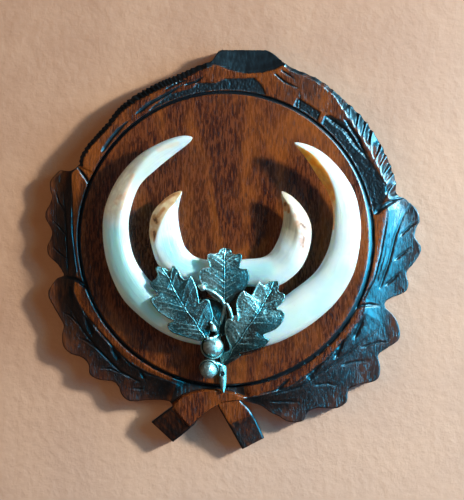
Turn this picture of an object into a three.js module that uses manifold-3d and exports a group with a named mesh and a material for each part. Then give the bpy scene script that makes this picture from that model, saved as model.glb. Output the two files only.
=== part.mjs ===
// Boar tusk trophy: two long lower tusks and two short upper tusks on a carved wooden plaque, their roots
// under a cast cover of oak leaves and acorns that one nail holds.
// Millimetres, +Z up. The plaque's flat back lies at y = 0 and its face looks along -Y. x and z are taken
// from the middle of the round disc, and a height is the distance in front of the back.
import * as THREE from 'three';
import { mergeVertices } from 'three/addons/utils/BufferGeometryUtils.js';
import Module from 'manifold-3d';

const wasm = await Module();
wasm.setup();

// Driving dimensions
const GAP = 0.3; // clearance between pieces that touch
const DISC = { radius: 86.5, height: 17 };
const GROOVE = { width: 3, depth: 2 };
const RIM = { height: 16.5, edge: 11, chamfer: 5.5 };
const CAP = { foot: 15, hollow: 13.5, edge: 11.5 }; // scooped top of the plaque
const LEAF = { foot: 12, swell: 13.5, midrib: 12.3, edge: 9.5 }; // carved leaves, lower than the disc
const BRANCH = { edge: 14.5, chamfer: 2 }; // crossed branches, level with the rim
const STUB = { height: 13.5, chamfer: 2 }; // sawn ends of the carved branches
const NOTCH = { pitch: 2, depth: 1.6 }; // gouged edge of the upper rim: pitch in degrees of the circle
const LOBE = { reach: 5, rise: 0.45, most: 1.6 }; // swell of a carved lobe, from its bulge over some degrees
const LOWER_TUSK = { flatness: 0.68, lift: 15, rings: 20 };
const UPPER_TUSK = { flatness: 0.66, lift: 10, rings: 15 };
const FOIL = 1.8; // thickness of a cast leaf
const VEIN = { rise: 0.25, most: 0.7 }; // raised vein of a cast lobe, from the width of the lobe
const TWIG = 1.6; // radius of a cast twig
const ACORN = { radius: 6.2, length: 8.2, cup: 6.9 };
const STEM = { x: -2.4, top: -74.5, step: -3.5, lean: 0.18, thickness: 3.4, taper: 0.35, side: 2.4 };
const STEM_HALF_WIDTHS = [2, 2.6, 2.4, 2.2, 1.6, 0.5];
const NAIL = { x: -2.1, z: -80.8, shank: 0.8, head: 1.1, hole: 1.5, length: 14, proud: 2.5 };

const WOOD = { color: 0x5a2a12, roughness: 0.4, metalness: 0 };
const IVORY = { color: 0xe9e4d2, roughness: 0.3, metalness: 0 };
const PEWTER = { color: 0x5f6c70, roughness: 0.45, metalness: 0.9 };
const STEEL = { color: 0x1d1c1b, roughness: 0.6, metalness: 0.8 };

// Outline of the plaque, anticlockwise from the end of the upper right rim, as [x, z]
const UPPER_RIGHT_RIM = [[104, 26], [102, 37], [97, 50], [90, 63], [82, 74], [70, 85], [56, 96], [38, 104]];
const CAP_TOP = [[35, 106], [24, 114], [-3, 114], [-9, 107]];
const UPPER_LEFT_RIM = [
  [-16, 105], [-28, 100], [-40, 95], [-52, 89], [-64, 80], [-73, 69], [-80, 61], [-85, 55], [-88, 49],
  [-89, 44],
];
const UPPER_LEFT_LEAF = [
  [-94, 41], [-100, 41.5], [-103, 39], [-106, 35], [-106, 29], [-105, 26], [-106, 22], [-109, 16], [-109, 13],
  [-106, 7], [-105, 4], [-106, 0], [-108, -5], [-107, -10], [-104, -13], [-101, -16], [-98, -22],
];
const LOWER_LEFT_LEAF = [
  [-101, -23], [-104, -26], [-107, -31], [-107, -35], [-104, -41], [-100, -48], [-98, -52], [-99, -58],
  [-98, -65], [-94, -69], [-88, -71], [-85, -73], [-83, -76], [-82, -82], [-76, -85], [-68, -86], [-65, -89],
  [-63, -94], [-60, -97], [-56, -98], [-46, -97], [-34, -98],
];
const CROSSED_BRANCHES = [
  [-32, -101], [-21, -113], [-17, -109], [-13, -105], [-7, -101], [2, -98], [8, -97], [13, -98],
];
const LOWER_RIGHT_LEAF = [
  [22, -101], [26, -104], [32, -107], [37, -110], [46, -110], [50, -104], [55, -102], [67, -102], [71, -100],
  [73, -98], [74, -91], [80, -88], [89, -86], [92, -84], [93, -77], [92, -70], [97, -66], [104, -61],
  [105, -56], [103, -49], [100, -45], [96, -41],
];
const UPPER_RIGHT_LEAF = [
  [96, -38], [101, -35], [106, -33], [109, -31], [110, -27], [109, -20], [113, -15], [117, -9], [118, -5],
  [116, -2], [114, 2], [115, 7], [117, 11], [115, 18], [112, 21], [107, 25],
];
const LEFT_STUB = [[-45, -110], [-32, -122], [-21, -113], [-28, -94], [-40, -98]];
const RIGHT_STUB = [[-4, -101], [10, -127], [23, -120], [17, -109], [13, -101], [8, -92], [0, -92]];

// Radii that change along the circle, as [degrees anticlockwise from +x, radius]
const LEAF_FOOT = [
  [-23, 91], [-3, 94], [10, 99], [13, 98], [70, 98], [72, 108], [80, 101], [89, 101], [96, 106], [98, 98],
  [153, 98], [157, 101], [166, 95], [180, 92], [191, 91], [199, 97], [228, 94], [248, 92], [278, 96],
  [298, 97], [312, 94], [332, 94], [337, 91],
];
const MIDRIB = [
  [-23, 100], [-15, 97], [-3, 100], [5, 105], [11, 110], [16, 102], [70, 102], [84, 106], [98, 101], [154, 101],
  [170, 98], [193, 97], [200, 106], [212, 102], [231, 99], [248, 96], [278, 97], [300, 99], [318, 101],
  [331, 107], [337, 100],
];

// Edges of the tusks from root to tip, as [x, z] of the outer edge and [x, z] of the inner edge
const LEFT_LOWER_TUSK = [
  [[-15, -63.5], [-13, -44]], [[-27.5, -60.5], [-21.5, -42]], [[-39.5, -55], [-29.5, -38.5]],
  [[-51.5, -46], [-38, -31.5]], [[-62, -35], [-46.5, -23.5]], [[-70.5, -16], [-54.5, -11.5]],
  [[-73.5, 3.5], [-58, 4.5]], [[-72, 19], [-57, 16.5]], [[-64, 36.5], [-51.5, 31.5]], [[-51.5, 50], [-42, 41]],
  [[-36, 58.5], [-31.5, 49.5]], [[-25.5, 61.3], [-24.5, 54.8]], [[-19.8, 60.8], [-20, 58.6]],
];
const RIGHT_LOWER_TUSK = [
  [[3, -66.5], [4, -46]], [[24, -64], [18, -42]], [[41, -57], [32, -36]], [[54, -48.5], [41.5, -29.5]],
  [[67, -36], [51.5, -21.5]], [[76, -20.5], [57.5, -13.5]], [[80, -2], [62, -2]], [[80, 12.5], [64, 14]],
  [[76.5, 27.5], [61, 27]], [[69, 40], [54, 38]], [[58, 51], [47.5, 48]], [[49, 55.8], [44, 52.3]],
  [[41, 57.7], [40.3, 56.3]],
];
const LEFT_UPPER_TUSK = [
  [[-3, -30], [-3, -13.5]], [[-17, -28], [-14, -12]], [[-30, -23.5], [-20, -9.5]],
  [[-40, -16], [-24.5, -4.5]], [[-44.5, -4], [-27, 3]], [[-45.7, 6], [-28.3, 10]],
  [[-43.6, 15.7], [-28.6, 16.5]], [[-37, 23.5], [-28, 20.5]], [[-31.3, 27.3], [-27, 24.5]],
  [[-26.7, 29], [-26, 28]],
];
const RIGHT_UPPER_TUSK = [
  [[1.5, -28], [1.5, -12.5]], [[16, -28.5], [12, -12]], [[30, -28.5], [21.5, -11]],
  [[41.3, -21.2], [27, -7.5]], [[47.5, -12.5], [31, -0.5]], [[50.9, 0.4], [33.3, 7]],
  [[50, 10.8], [34.3, 14]], [[45.5, 19], [34, 19.6]], [[39.5, 25.3], [33, 24.5]],
  [[33.4, 28.8], [32.8, 27.8]],
];
// Section of a tusk, as [across, front] from -1 to 1: a rounded triangle with its ridge near the inner edge
const TUSK_SECTION = [
  [1, -0.25], [0.86, 0.25], [0.45, 0.72], [-0.1, 0.97], [-0.5, 1], [-0.84, 0.6],
  [-1, -0.05], [-0.85, -0.62], [-0.3, -0.98], [0.35, -1], [0.85, -0.74],
];

// Leaves of the cover from base to tip, as [x, z] of the left margin, the midrib and the right margin
const TOP_LEAF = [
  [-2.5, -38, -1, -39, 1, -38.5], [-8, -34, -1, -36, 5.5, -35.5], [-12.5, -29, -1, -32.5, 9.5, -31],
  [-15.5, -24.5, -1, -29.5, 12.5, -27], [-16, -20, -1, -26, 14, -22], [-13.5, -18, -1, -23, 12.5, -18.5],
  [-9.5, -17, -1, -20, 8, -18], [-10.5, -13.5, -1, -17, 8.5, -14], [-11, -10, -1, -14, 9.5, -10],
  [-8.5, -9, -1, -11.5, 7, -9], [-5, -9, -1, -9.5, 3.5, -9.5], [-4, -7, -0.5, -7.5, 3, -7],
  [-2, -5.5, -0.5, -5.3, 1, -5.5],
];
const LEFT_LEAF = [
  [-16, -60.5, -12, -60, -10, -57.5], [-21.5, -58.5, -13.5, -57, -9.5, -53.5],
  [-29, -56, -15.5, -54.5, -9, -47.5], [-34.5, -53, -17, -52, -9, -40], [-34, -50.5, -18.5, -49, -10, -36.5],
  [-30.5, -48.5, -21, -46, -14, -36.5], [-36.5, -44.5, -23, -43.5, -16, -38],
  [-42.5, -40, -24.5, -41, -17, -33], [-44.5, -36.5, -26.5, -38, -18.5, -26.5],
  [-39.5, -33.5, -28.5, -34.5, -21, -22], [-43, -30, -30.5, -31, -24, -24.5],
  [-45, -27, -32, -28, -26.5, -22], [-42, -25, -33, -25.5, -28.5, -18], [-40.5, -22, -34, -23, -31.5, -16.5],
  [-41.5, -18.5, -35.5, -21, -33.5, -19], [-39.5, -16.5, -38, -17.5, -36.5, -17],
];
const RIGHT_LEAF = [
  [-3, -75, -2, -76, -0.5, -76], [-2.5, -68.5, 0, -72.5, 4, -73], [2, -66.5, 2.5, -69.5, 8.5, -70],
  [2, -63, 4, -66, 8, -68], [0.5, -58, 6.5, -62.5, 14.5, -66], [-0.5, -52, 9, -59, 21.5, -64],
  [0.5, -48, 11, -55.5, 25.5, -60.5], [3, -47.5, 13, -52.5, 22, -57.5], [5.5, -49, 15, -50, 25, -55],
  [7, -46, 17, -47, 32, -51], [7, -39, 18.5, -44.5, 34.5, -46], [7.5, -33.5, 20, -42.5, 30.5, -42.5],
  [11, -31, 21.5, -39.5, 31.5, -39.5], [14.5, -34, 23, -37, 35, -35], [17, -30, 24.5, -34, 33, -32.5],
  [19.5, -25.5, 26, -31.5, 31, -31.5], [23, -27.5, 27, -28.5, 31.5, -27.5], [26, -25, 28, -25.5, 30.5, -25],
];
const BACK_LEAF = [
  [-4, -58, -2.5, -58, -0.5, -57], [-8.5, -53.5, -4, -53.5, 0, -50], [-12, -48.5, -6.5, -48.5, 0, -42.5],
  [-15, -44, -8.5, -44, -2.5, -38.5], [-17, -39.5, -11, -39.5, -7, -36], [-16, -36, -13.5, -36, -11, -35],
];
// Heights of a leaf's midrib from base to tip, and how far its margins hang below the midrib
const TOP_LEAF_RISE = { midrib: [30, 33, 33.5, 32], droop: 1.6 };
const LEFT_LEAF_RISE = { midrib: [30, 33.5, 34, 33], droop: 1.6 };
const RIGHT_LEAF_RISE = { midrib: [20.5, 32, 34.5, 33.5, 32], droop: 1.4 };
const BACK_LEAF_RISE = { midrib: [27.5, 28.5, 28.5, 27], droop: 1 };
// Twigs of the cover, as [x, z, height] along each one
const TWIGS = [
  [[-2, -76, 19.5], [-3, -70, 21], [-4, -62, 24], [-3.5, -52, 27], [-1, -42, 28.5], [-1, -37, 30]],
  [[-14, -29, 32.5], [-8, -31.5, 32.5], [-3.5, -35, 32.2], [-0.5, -39.5, 31]],
  [[0, -38, 32], [2, -41.5, 32.5], [3.5, -46, 32], [4.5, -51, 31]],
  [[-4, -57, 27], [-8, -59, 29.5], [-12, -59.5, 30.5]],
  [[-9.5, -49, 31.5], [-8, -51.5, 31], [-6.5, -54, 29], [-4, -56, 27]],
  [[-6, -59, 27], [-5, -56, 27], [-4, -53, 27]],
  [[-6, -74, 22.5], [-4, -75, 21], [-2, -76.5, 19.5]],
];
// Acorns and buds of the cover: the middle of the cup or bud, and a point that its end looks towards
const ACORNS = [[[-7, -62, 25.5], [-8.6, -68, 26.5]], [[-7.5, -75.5, 24.2], [-12, -81, 25]]];
const BUDS = [[[-14, -29, 32.5], [-16, -28, 32.5]], [[-7.5, -53, 31], [-9, -56, 31]]];

// A point from its place on the plaque and its height above the back
const at = (x, z, height) => new THREE.Vector3(x, -height, z);

const middleOf = (ring) => ring.reduce((sum, p) => sum.add(p), at(0, 0, 0)).divideScalar(ring.length);

// A closed body through rings of equally many points, with a fan over the first ring and over the last
function loft(rings, firstMiddle = middleOf(rings[0]), lastMiddle = middleOf(rings.at(-1))) {
  const around = rings[0].length;
  const points = [...rings.flat(), firstMiddle, lastMiddle];
  const first = points.length - 2;
  const last = points.length - 1;
  const lastRing = (rings.length - 1) * around;
  const faces = [];
  for (let i = 0; i < around; i += 1) {
    const next = (i + 1) % around;
    faces.push([first, i, next], [last, lastRing + next, lastRing + i]);
    for (let start = 0; start < lastRing; start += around) {
      const [a, b, c, d] = [start + i, start + next, start + around + next, start + around + i];
      faces.push([a, d, c], [a, c, b]);
    }
  }
  const volume = faces.reduce((sum, [a, b, c]) => sum + points[a].dot(points[b].clone().cross(points[c])), 0);
  const outward = volume > 0 ? faces : faces.map(([a, b, c]) => [a, c, b]);
  const geometry = new THREE.BufferGeometry().setFromPoints(points);
  geometry.setIndex(outward.flat());
  return geometry;
}

// Joins and cuts
function solid(geometry) {
  const bare = geometry.clone();
  bare.deleteAttribute('normal');
  bare.deleteAttribute('uv');
  const merged = mergeVertices(bare, 1e-4);
  const mesh = new wasm.Mesh({
    numProp: 3,
    vertProperties: new Float32Array(merged.attributes.position.array),
    triVerts: new Uint32Array(merged.index.array),
  });
  return new wasm.Manifold(mesh);
}

const join = (geometries) => geometries.map(solid).reduce((whole, piece) => whole.add(piece));

function geometryOf(manifold) {
  const { vertProperties, triVerts } = manifold.getMesh();
  const geometry = new THREE.BufferGeometry();
  geometry.setAttribute('position', new THREE.BufferAttribute(vertProperties, 3));
  geometry.setIndex(new THREE.BufferAttribute(triVerts, 1));
  return geometry;
}

function mesh(name, geometry, look) {
  geometry.computeVertexNormals();
  const piece = new THREE.Mesh(geometry, new THREE.MeshStandardMaterial(look));
  piece.name = name;
  return piece;
}

// Straight-line value of a [position, value] list at a position
function valueAt(list, position) {
  const after = list.findIndex(([place]) => place >= position);
  if (after <= 0) return list.at(after)[1];
  const [[p0, v0], [p1, v1]] = [list[after - 1], list[after]];
  return v0 + ((v1 - v0) * (position - p0)) / (p1 - p0);
}

// Smooth value of an evenly spaced list, t from 0 to 1
function smoothAt(list, t) {
  const curve = new THREE.CatmullRomCurve3(list.map((value, i) => new THREE.Vector3(i, value, 0)));
  return curve.getPoint(t).y;
}

// A round bar along a curve, closed at both ends
function bar(points, radius, steps = 4) {
  const outline = new THREE.Shape();
  outline.absarc(0, 0, radius, 0, 2 * Math.PI);
  const extrudePath = new THREE.CatmullRomCurve3(points);
  return new THREE.ExtrudeGeometry(outline, { steps, curveSegments: 3, extrudePath, bevelEnabled: false });
}

// A turned piece from its profile of [radius, distance], its axis laid from one point towards another
function turned(profile, from, towards, sides = 12) {
  const geometry = new THREE.LatheGeometry(profile.map(([r, y]) => new THREE.Vector2(r, y)), sides);
  const axis = towards.clone().sub(from).normalize();
  geometry.applyQuaternion(new THREE.Quaternion().setFromUnitVectors(new THREE.Vector3(0, 1, 0), axis));
  geometry.translate(from.x, from.y, from.z);
  return geometry;
}

// Plaque: rings about the disc's middle, from the disc's edge out over the rim and round to the back
const OUTLINE = [
  ...UPPER_RIGHT_RIM, ...CAP_TOP, ...UPPER_LEFT_RIM, ...UPPER_LEFT_LEAF, ...LOWER_LEFT_LEAF,
  ...CROSSED_BRANCHES, ...LOWER_RIGHT_LEAF, ...UPPER_RIGHT_LEAF,
];
const REGION_END = { leaf: 13, rightRim: 71, cap: 97, leftRim: 153, leftLeaves: 251, branches: 277 };

function regionOf(degrees) {
  if (degrees < REGION_END.leaf) return 'leaf';
  if (degrees < REGION_END.rightRim) return 'rim';
  if (degrees < REGION_END.cap) return 'cap';
  if (degrees < REGION_END.leftRim) return 'rim';
  if (degrees < REGION_END.leftLeaves) return 'leaf';
  return degrees < REGION_END.branches ? 'branches' : 'leaf';
}

// Distance from the middle to the outline in one direction
function reach(degrees) {
  const angle = THREE.MathUtils.degToRad(degrees);
  const [ux, uz] = [Math.cos(angle), Math.sin(angle)];
  let found = 0;
  OUTLINE.forEach(([x0, z0], i) => {
    const [x1, z1] = OUTLINE[(i + 1) % OUTLINE.length];
    const side0 = ux * z0 - uz * x0;
    const side1 = ux * z1 - uz * x1;
    if (side0 > 0 !== side1 > 0) {
      const share = side0 / (side0 - side1);
      found = Math.max(found, ux * (x0 + share * (x1 - x0)) + uz * (z0 + share * (z1 - z0)));
    }
  });
  return found;
}

// Radius and height of each ring in one direction
function profile(degrees, notched) {
  const region = regionOf(degrees);
  const edge = reach(degrees);
  const foot = valueAt(LEAF_FOOT, degrees);
  const rib = Math.min(valueAt(MIDRIB, degrees), edge - 3);
  const groove = [
    [DISC.radius, DISC.height],
    [DISC.radius + GROOVE.width / 2, DISC.height - GROOVE.depth],
  ];
  const beyond = DISC.radius + GROOVE.width;
  if (region === 'leaf') {
    const bulge = edge - (reach(degrees - LOBE.reach) + reach(degrees + LOBE.reach)) / 2;
    const lobe = THREE.MathUtils.clamp(LOBE.rise * bulge, -LOBE.most, LOBE.most);
    return [
      ...groove, [beyond, RIM.height], [foot, LEAF.foot], [(foot + rib) / 2, LEAF.swell + lobe / 2],
      [rib, LEAF.midrib], [(rib + edge) / 2, LEAF.swell + lobe], [edge, LEAF.edge + lobe], [edge, 0],
    ];
  }
  if (region === 'cap') {
    return [
      ...groove, [beyond, RIM.height], [(beyond + foot) / 2, RIM.height], [foot, RIM.height],
      [foot, CAP.foot], [(foot + edge) / 2, CAP.hollow], [edge, CAP.edge], [edge, 0],
    ];
  }
  const bite = notched && region === 'rim' ? NOTCH.depth : 0;
  const { chamfer, edge: low } = region === 'rim' ? RIM : BRANCH;
  const band = (step) => beyond + (step / 3) * (edge - chamfer - beyond);
  return [
    ...groove, [beyond, RIM.height], [band(1), RIM.height], [band(2), RIM.height], [band(3), RIM.height],
    [edge - chamfer / 2 - bite, (RIM.height + low) / 2 - bite], [edge - bite, low], [edge - bite, 0],
  ];
}

function plaqueBody() {
  const spokes = [];
  for (let degrees = -23; degrees < 337; degrees += regionOf(degrees) === 'rim' ? NOTCH.pitch / 2 : 2) {
    const angle = THREE.MathUtils.degToRad(degrees);
    const notched = Math.round(degrees) % NOTCH.pitch === 0;
    spokes.push(profile(degrees, notched).map(([r, h]) => at(r * Math.cos(angle), r * Math.sin(angle), h)));
  }
  const rings = spokes[0].map((_, ring) => spokes.map((spoke) => spoke[ring]));
  const back = rings.at(-1).map((p) => p.clone().multiplyScalar(0.6));
  return loft([...rings, back], at(0, 0, DISC.height), at(0, 0, 0));
}

// The sawn end of a carved branch, its front edges chamfered
function stub(corners, height) {
  const middle = middleOf(corners.map(([x, z]) => at(x, z, 0)));
  const inset = (level, by) => corners.map(([x, z]) => {
    const out = at(x, z, 0).sub(middle);
    return middle.clone().add(out.setLength(out.length() - by)).add(at(0, 0, level));
  });
  return loft([inset(0, 0), inset(height - STUB.chamfer, 0), inset(height, STUB.chamfer)]);
}

function plaque() {
  const nailHole = new THREE.CylinderGeometry(NAIL.shank + GAP, NAIL.shank + GAP, 2 * NAIL.length, 12);
  nailHole.translate(NAIL.x, -DISC.height, NAIL.z);
  const wood = join([plaqueBody(), stub(LEFT_STUB, STUB.height), stub(RIGHT_STUB, STUB.height)]);
  return geometryOf(wood.subtract(solid(nailHole)));
}

// A tusk lies on the disc at its root and rises off it towards the tip. Grown, it is the room that it needs.
function tusk(edges, { flatness, lift, rings: count }, grow = 0) {
  const outerEdge = new THREE.CatmullRomCurve3(edges.map(([[x, z]]) => at(x, z, 0)));
  const innerEdge = new THREE.CatmullRomCurve3(edges.map(([, [x, z]]) => at(x, z, 0)));
  const rings = [];
  for (let i = 0; i <= count; i += 1) {
    const t = i / count;
    const inner = innerEdge.getPoint(t);
    const outer = outerEdge.getPoint(t);
    const middle = inner.clone().lerp(outer, 0.5);
    const across = outer.sub(inner);
    const halfWidth = across.length() / 2;
    const halfDepth = halfWidth * flatness;
    const level = DISC.height + GAP + halfDepth + lift * t ** 2;
    across.normalize();
    rings.push(TUSK_SECTION.map(([u, v]) => middle.clone()
      .addScaledVector(across, u * (halfWidth + grow))
      .add(at(0, 0, level + v * (halfDepth + grow)))));
  }
  return loft(rings);
}

// How far a leaf's margin stands out beyond its neighbours: over 0 on a lobe, under 0 between lobes
function lobeAt(rows, i, margin) {
  const width = (row) => Math.hypot(row[margin] - row[2], row[margin + 1] - row[3]);
  const before = rows[Math.max(i - 1, 0)];
  const after = rows[Math.min(i + 1, rows.length - 1)];
  return width(rows[i]) - (width(before) + width(after)) / 2;
}

// A cast leaf: closed sections from base to tip, lowest at the margins, with a raised vein along each lobe
function castLeaf(rows, { midrib, droop }) {
  const rings = rows.map(([leftX, leftZ, ribX, ribZ, rightX, rightZ], i) => {
    const ridge = smoothAt(midrib, i / (rows.length - 1));
    const left = at(leftX, leftZ, ridge - droop);
    const rib = at(ribX, ribZ, ridge);
    const right = at(rightX, rightZ, ridge - droop);
    const half = (margin, start) => {
      const vein = THREE.MathUtils.clamp(VEIN.rise * lobeAt(rows, i, start), -VEIN.most, VEIN.most);
      return margin.clone().lerp(rib, 0.5).add(at(0, 0, vein));
    };
    const front = [left, half(left, 0), rib, half(right, 4), right];
    const back = front.map((p) => p.clone().add(at(0, 0, -FOIL))).reverse();
    return [...front, ...back];
  });
  return loft(rings);
}

function acorn([from, towards]) {
  const { radius, length, cup } = ACORN;
  const nut = [
    [0, -2], [radius * 0.8, -1], [radius, 2], [radius * 0.92, 5], [radius * 0.62, 7.4], [0, length],
  ];
  const shell = [[0, -5], [cup * 0.6, -4.4], [cup * 0.92, -2.4], [cup, 0.4], [radius * 0.9, 0.8], [0, 0.8]];
  return [nut, shell].map((profile) => turned(profile, at(...from), at(...towards)));
}

function bud([from, towards]) {
  const profile = [[0, -2.2], [1.8, -1.1], [2.2, 0], [1.7, 1.3], [0, 2.3]];
  return turned(profile, at(...from), at(...towards), 8);
}

// The stem below the leaves, flat on the disc, with a rounded front
function stem() {
  const bottom = DISC.height + GAP;
  return loft(STEM_HALF_WIDTHS.map((half, i) => {
    const x = STEM.x + i * STEM.lean;
    const z = STEM.top + i * STEM.step;
    const ridge = bottom + STEM.thickness - i * STEM.taper;
    const shoulder = bottom + (STEM.side / STEM.thickness) * (ridge - bottom);
    return [
      at(x - half, z, bottom), at(x - half, z, shoulder), at(x, z, ridge),
      at(x + half, z, shoulder), at(x + half, z, bottom),
    ];
  }));
}

function oakLeafCover() {
  const casting = join([
    castLeaf(TOP_LEAF, TOP_LEAF_RISE), castLeaf(LEFT_LEAF, LEFT_LEAF_RISE),
    castLeaf(RIGHT_LEAF, RIGHT_LEAF_RISE), castLeaf(BACK_LEAF, BACK_LEAF_RISE),
    ...ACORNS.flatMap(acorn), ...BUDS.map(bud), stem(),
    ...TWIGS.map((points) => bar(points.map((point) => at(...point)), TWIG)),
  ]);
  const nailHole = new THREE.CylinderGeometry(NAIL.hole, NAIL.hole, NAIL.length, 12);
  nailHole.translate(NAIL.x, -DISC.height - NAIL.length / 3, NAIL.z);
  const room = [
    tusk(LEFT_LOWER_TUSK, LOWER_TUSK, GAP), tusk(RIGHT_LOWER_TUSK, LOWER_TUSK, GAP),
    tusk(LEFT_UPPER_TUSK, UPPER_TUSK, GAP), tusk(RIGHT_UPPER_TUSK, UPPER_TUSK, GAP), nailHole,
  ];
  return geometryOf(room.map(solid).reduce((metal, hollow) => metal.subtract(hollow), casting));
}

function coverNail() {
  const { shank, head, length, proud, x, z } = NAIL;
  const shape = [
    [0, 0], [shank * 0.3, 0.5], [shank, 2], [shank, length - 1],
    [head, length - 0.8], [head, length - 0.2], [0, length],
  ];
  return turned(shape, at(x, z, DISC.height + proud - length), at(x, z, DISC.height));
}

const trophy = new THREE.Group();
trophy.add(
  mesh('plaque', plaque(), WOOD),
  mesh('lower_tusk_left', tusk(LEFT_LOWER_TUSK, LOWER_TUSK), IVORY),
  mesh('lower_tusk_right', tusk(RIGHT_LOWER_TUSK, LOWER_TUSK), IVORY),
  mesh('upper_tusk_left', tusk(LEFT_UPPER_TUSK, UPPER_TUSK), IVORY),
  mesh('upper_tusk_right', tusk(RIGHT_UPPER_TUSK, UPPER_TUSK), IVORY),
  mesh('oak_leaf_cover', oakLeafCover(), PEWTER),
  mesh('cover_nail', coverNail(), STEEL),
);

export default trophy;
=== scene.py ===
"""Boar tusk trophy: two long lower tusks and two short upper tusks on a carved wooden plaque, with their
roots under a cast cover of oak leaves and acorns.

Lengths are in millimetres until a mesh is made. x and z are taken from the middle of the plaque's round
disc, and a height is the distance in front of the plaque's flat back, which lies at y = 0.
"""

import itertools
import math

import bpy
import numpy as np
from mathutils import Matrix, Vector


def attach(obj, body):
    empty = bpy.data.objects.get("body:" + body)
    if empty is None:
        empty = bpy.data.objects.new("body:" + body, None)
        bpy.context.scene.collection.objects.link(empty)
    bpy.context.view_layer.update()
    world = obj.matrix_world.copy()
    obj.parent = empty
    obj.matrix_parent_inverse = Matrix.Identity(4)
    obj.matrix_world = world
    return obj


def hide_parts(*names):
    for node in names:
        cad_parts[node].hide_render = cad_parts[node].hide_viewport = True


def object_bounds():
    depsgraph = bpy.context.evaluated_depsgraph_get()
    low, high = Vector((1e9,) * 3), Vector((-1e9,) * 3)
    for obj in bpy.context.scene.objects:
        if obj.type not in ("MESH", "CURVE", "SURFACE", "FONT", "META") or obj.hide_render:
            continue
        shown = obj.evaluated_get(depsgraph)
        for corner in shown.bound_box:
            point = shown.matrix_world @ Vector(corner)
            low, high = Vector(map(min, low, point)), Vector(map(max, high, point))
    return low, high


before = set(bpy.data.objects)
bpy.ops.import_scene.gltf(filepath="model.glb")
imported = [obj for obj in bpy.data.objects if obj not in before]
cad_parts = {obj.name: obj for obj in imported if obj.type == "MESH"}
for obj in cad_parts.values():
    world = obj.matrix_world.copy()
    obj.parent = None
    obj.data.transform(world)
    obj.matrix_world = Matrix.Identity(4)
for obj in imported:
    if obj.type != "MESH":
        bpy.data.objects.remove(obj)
cad_low, cad_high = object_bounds()

MM = 0.001

# ---------------------------------------------------------------- driving dimensions
# Radii, heights and depths of the plaque's face
DISC_RADIUS = 86.5
DISC_HEIGHT = 17.0
GROOVE_MIDDLE = 88.2
GROOVE_BOTTOM = 88.5
GROOVE_DEPTH = 2.2
RIM_START = 89.5
RIM_HEIGHT = 16.5
RIM_EDGE = 11.0
CAP_FOOT = 15.0
CAP_EDGE = 11.5
CRESCENT_HEIGHT = 15.9
LEAF_SWELL = 15.6
LEAF_EDGE = 9.2
BRANCH_HEIGHT = 16.5
RECESS = 13.0
# Tusks: thickness as a share of the width, and how far the tip lifts off the board
LOWER_TUSK = {"flatness": 0.68, "lift": 15}
UPPER_TUSK = {"flatness": 0.66, "lift": 10}
# Gap between the board and what lies on it, thickness of a cast leaf and radius of a twig
GAP = 0.3
FOIL = 1.8
TWIG = 1.15

# Outline of the plaque, anticlockwise from the end of the upper right rim, as (x, z)
OUTLINE = [
    (104, 26), (102, 37), (97, 50), (90, 63), (82, 74), (70, 85), (56, 96), (38, 104), (35, 106),
    (24, 114), (-3, 114), (-9, 107), (-16, 105), (-28, 100), (-40, 95), (-52, 89), (-64, 80), (-73, 69),
    (-80, 61), (-85, 55), (-88, 49), (-89, 44), (-94, 41), (-100, 41.5), (-103, 39), (-106, 35),
    (-106, 29), (-105, 26), (-106, 22), (-109, 16), (-109, 13), (-106, 7), (-105, 4), (-106, 0),
    (-108, -5), (-107, -10), (-104, -13), (-101, -16), (-98, -22), (-101, -23), (-104, -26), (-107, -31),
    (-107, -35), (-104, -41), (-100, -48), (-98, -52), (-99, -58), (-98, -65), (-94, -69), (-88, -71),
    (-85, -73), (-83, -76), (-82, -82), (-76, -85), (-68, -86), (-65, -89), (-63, -94), (-60, -97),
    (-56, -98), (-46, -97), (-34, -98), (-32, -101), (-21, -113), (-17, -109), (-13, -105), (-7, -101),
    (2, -98), (8, -97), (13, -98), (22, -101), (26, -104), (32, -107), (37, -110), (46, -110), (50, -104),
    (55, -102), (67, -102), (71, -100), (73, -98), (74, -91), (80, -88), (89, -86), (92, -84), (93, -77),
    (92, -70), (97, -66), (104, -61), (105, -56), (103, -49), (100, -45), (96, -41), (96, -38),
    (101, -35), (106, -33), (109, -31), (110, -27), (109, -20), (113, -15), (117, -9), (118, -5),
    (116, -2), (114, 2), (115, 7), (117, 11), (115, 18), (112, 21), (107, 25),
]
# Where the carved leaves meet the plain crescent inside them, as (degrees anticlockwise from +x, radius)
LEAF_FOOT = [
    (-23, 91), (-3, 94), (10, 99), (13, 98), (153, 98), (157, 101), (166, 95), (180, 92), (191, 91),
    (199, 97), (228, 94), (248, 92), (278, 96), (298, 97), (312, 94), (332, 94), (337, 91),
]
# Width of the bevel along the rim's edge, as (degrees, width)
CHAMFER = [
    (-23, 6), (13, 7), (30, 8.5), (40, 8.5), (46, 6.5), (53, 2.8), (71, 2.5), (97, 4), (106, 5.5),
    (118, 5.5), (130, 4), (150, 3), (337, 6),
]
# Strength of the gouges along the rim's edge, as (degrees, strength)
GOUGED = [(13, 0.9), (44, 1), (52, 0.3), (71, 0.2), (97, 0.4), (104, 1.2), (140, 1.0), (154, 0.6)]
# Where the parts of the border start and end, in degrees
LEAF_END = 13
CAP_START = 71
CAP_END = 97
LEFT_LEAF_START = 153.5
BRANCHES_START = 251
BRANCHES_END = 277

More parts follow.
